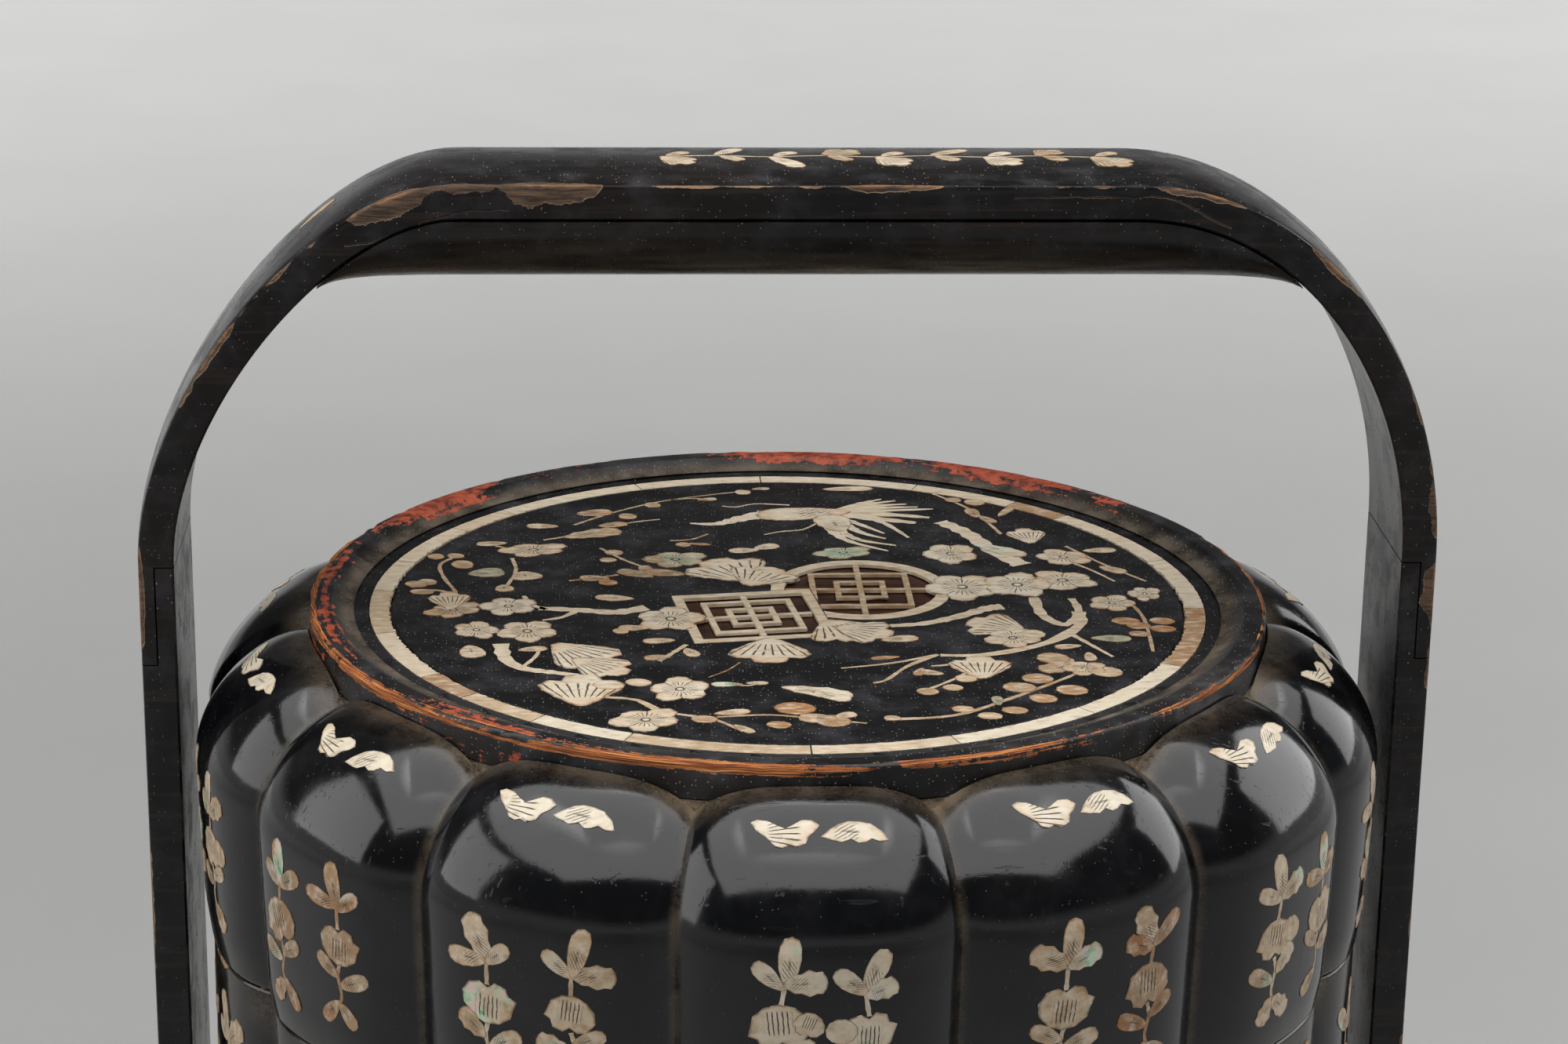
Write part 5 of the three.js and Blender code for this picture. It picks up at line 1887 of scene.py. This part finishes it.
for number, tier in enumerate(tiers):
    low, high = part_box(f"{tier}_wall")
    tier_design = Design(31 + number)
    vary = tier_design.random.uniform
    for lobe in range(lobes):
        middle = lobe * lobe_pitch
        mirror = lobe % 2 == number % 2
        for aside, unit, mirrored in ((-9, 1.06, mirror), (10, 1.04, not mirror)):
            x, y = middle + aside + vary(-1, 1), 35 + vary(-1, 1)
            add_sprig(tier_design, x, y, unit, mirrored)
    outline = [(box_radius, z, groove_depth) for z in np.linspace(low.z, high.z, 6)]
    tier_inlay = lobed_inlay(f"{tier}_inlay", tier_design, outline)
    settle(tier_inlay, tier, "mother_of_pearl")

# %% [markdown]
# ### Sprays on the hoop
#
# A long spray lies on the hoop's top and shorter ones on its legs. They are drawn flat too. Their X
# is then the way along the strap's outer face, counted from the middle of its top, and their Y the
# way across it, and the crown of the face lifts their middle.

# %% Laying a flat piece on the strap
strap_line = [(-hoop_half, leg_foot, -1, 0), *bow_path, (hoop_half, leg_foot, 1, 0)]


def lay_on_strap(piece):
    """Moves the points of a flat piece on to the outer face of the strap."""
    stations = np.array(strap_line)
    steps = np.linalg.norm(np.diff(stations[:, :2], axis=0), axis=1)
    runs = np.concatenate([[0], np.cumsum(steps)])
    runs -= runs[-1] / 2
    flat = np.array([v.co for v in piece.data.vertices])
    x, z, out_x, out_z = (np.interp(flat[:, 0], runs, column) for column in stations.T)
    out = flat[:, 2] - strap_crown * (flat[:, 1] / (strap_depth / 2)) ** 2
    bent = np.column_stack([x + out_x * out, flat[:, 1], z + out_z * out])
    piece.data.vertices.foreach_set("co", bent.ravel())
    piece.data.update()
    return piece


# %% Hoop sprays
def add_spray(design, start, end, middle, tint):
    """A wavy twig along X with leaves and buds on both sides of it."""
    vary = design.random.uniform
    count = max(3, int((end - start) / 11))
    sides = [1 if i % 2 else -1 for i in range(count + 1)]
    runs = [start + (end - start) * i / count for i in range(count + 1)]
    points = [(run, middle + 0.7 * side) for run, side in zip(runs, sides)]
    design.twig(points, 0.7, 0.5, tint)
    for (x, y), side in zip(points, sides):
        own_tint = min(1.0, max(0.0, tint + vary(-0.3, 0.3)))
        length = vary(3.8, 6.2)
        turn = side * vary(0.6, 1.1)
        name = design.random.choice(["leaf", "leaf", "fan", "bud"])
        out_x, out_y = x + math.cos(turn) * length, y + math.sin(turn) * length
        design.shape(name, out_x, out_y, length, turn, length * 0.9, own_tint, vary(0, 0.5))
        design.shape("leaf", x + 3.5, y - side * 3.0, 3.4, -side * 0.8, 4.4, own_tint, 0)


hoop_design = Design(47)
add_spray(hoop_design, -30, 62, 5, 0.35)
hoop_design.shape("leaf", -106, 4, 5.2, 0.4, 5.5, 0.5, 0)
for side in (-1, 1):
    for leg_run in (225, 300, 375):
        add_spray(hoop_design, side * leg_run - 24, side * leg_run + 18, 0, 0.4)
hoop_inlay = lay_on_strap(hoop_design.cut("hoop_inlay"))
settle(outward(hoop_inlay), "stand", "mother_of_pearl")
for plate in list(cut_box.objects):
    bpy.data.objects.remove(plate)

# %% [markdown]
# ### Pearl band
#
# A ring of curved strips frames the panel. They were cut by hand: their joints are uneven, their
# inner edges saw-toothed at the left and right, and each has a tint of its own.

# %% Pearl band
band_low, band_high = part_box("pearl_band_01")
band_nodes = [name for name in frame["nodes"] if name.startswith("pearl_band_")]
band_outer = max(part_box(name)[1].x for name in band_nodes)
band_width = 4.7 * mm
joint_gap = 0.35 * mm
band_random = random.Random(5)
joints = [0.0]
while joints[-1] < 345:
    joints.append(joints[-1] + band_random.uniform(9, 25))
joints = [joint * 360 / joints[-1] for joint in joints]
gap = math.degrees(joint_gap / 2 / band_outer)
band_points, band_faces, band_tints = [], [], []
for start, end in zip(joints, joints[1:]):
    tint = band_random.choice([0.0, 0.1, 0.2, 0.32, 0.05, 0.48, 0.26, 0.68])
    first = len(band_points)
    steps = max(6, int(2 * (end - start)))
    for i in range(steps + 1):
        swing = math.radians(start + gap + (end - start - 2 * gap) * i / steps)
        sawing = 0.25 + 0.75 * abs(math.sin(swing)) ** 3
        bite = band_random.uniform(0, 0.75) * mm * sawing
        inner = band_outer - band_width + bite
        outer = band_outer - band_random.uniform(0, 0.12) * mm
        top, bottom = band_high.z, band_low.z
        for radius, z in ((inner, top), (outer, top), (outer, bottom), (inner, bottom)):
            band_points.append((radius * math.sin(swing), -radius * math.cos(swing), z))
            band_tints.append(tint)
    last = first + 4 * steps
    for row in range(first, last, 4):
        for a, b in ((0, 1), (1, 2), (2, 3), (3, 0)):
            band_faces.append((row + b, row + a, row + a + 4, row + b + 4))
    band_faces += [(first, first + 1, first + 2, first + 3), (last + 3, last + 2, last + 1, last)]
band = outward(mesh_object("pearl_band_cut", band_points, faces=band_faces, tint=band_tints))
band.data.materials.append(mother_of_pearl)
settle(band, "lid", "mother_of_pearl", *band_nodes)
print(len(joints) - 1, "strips in the band")
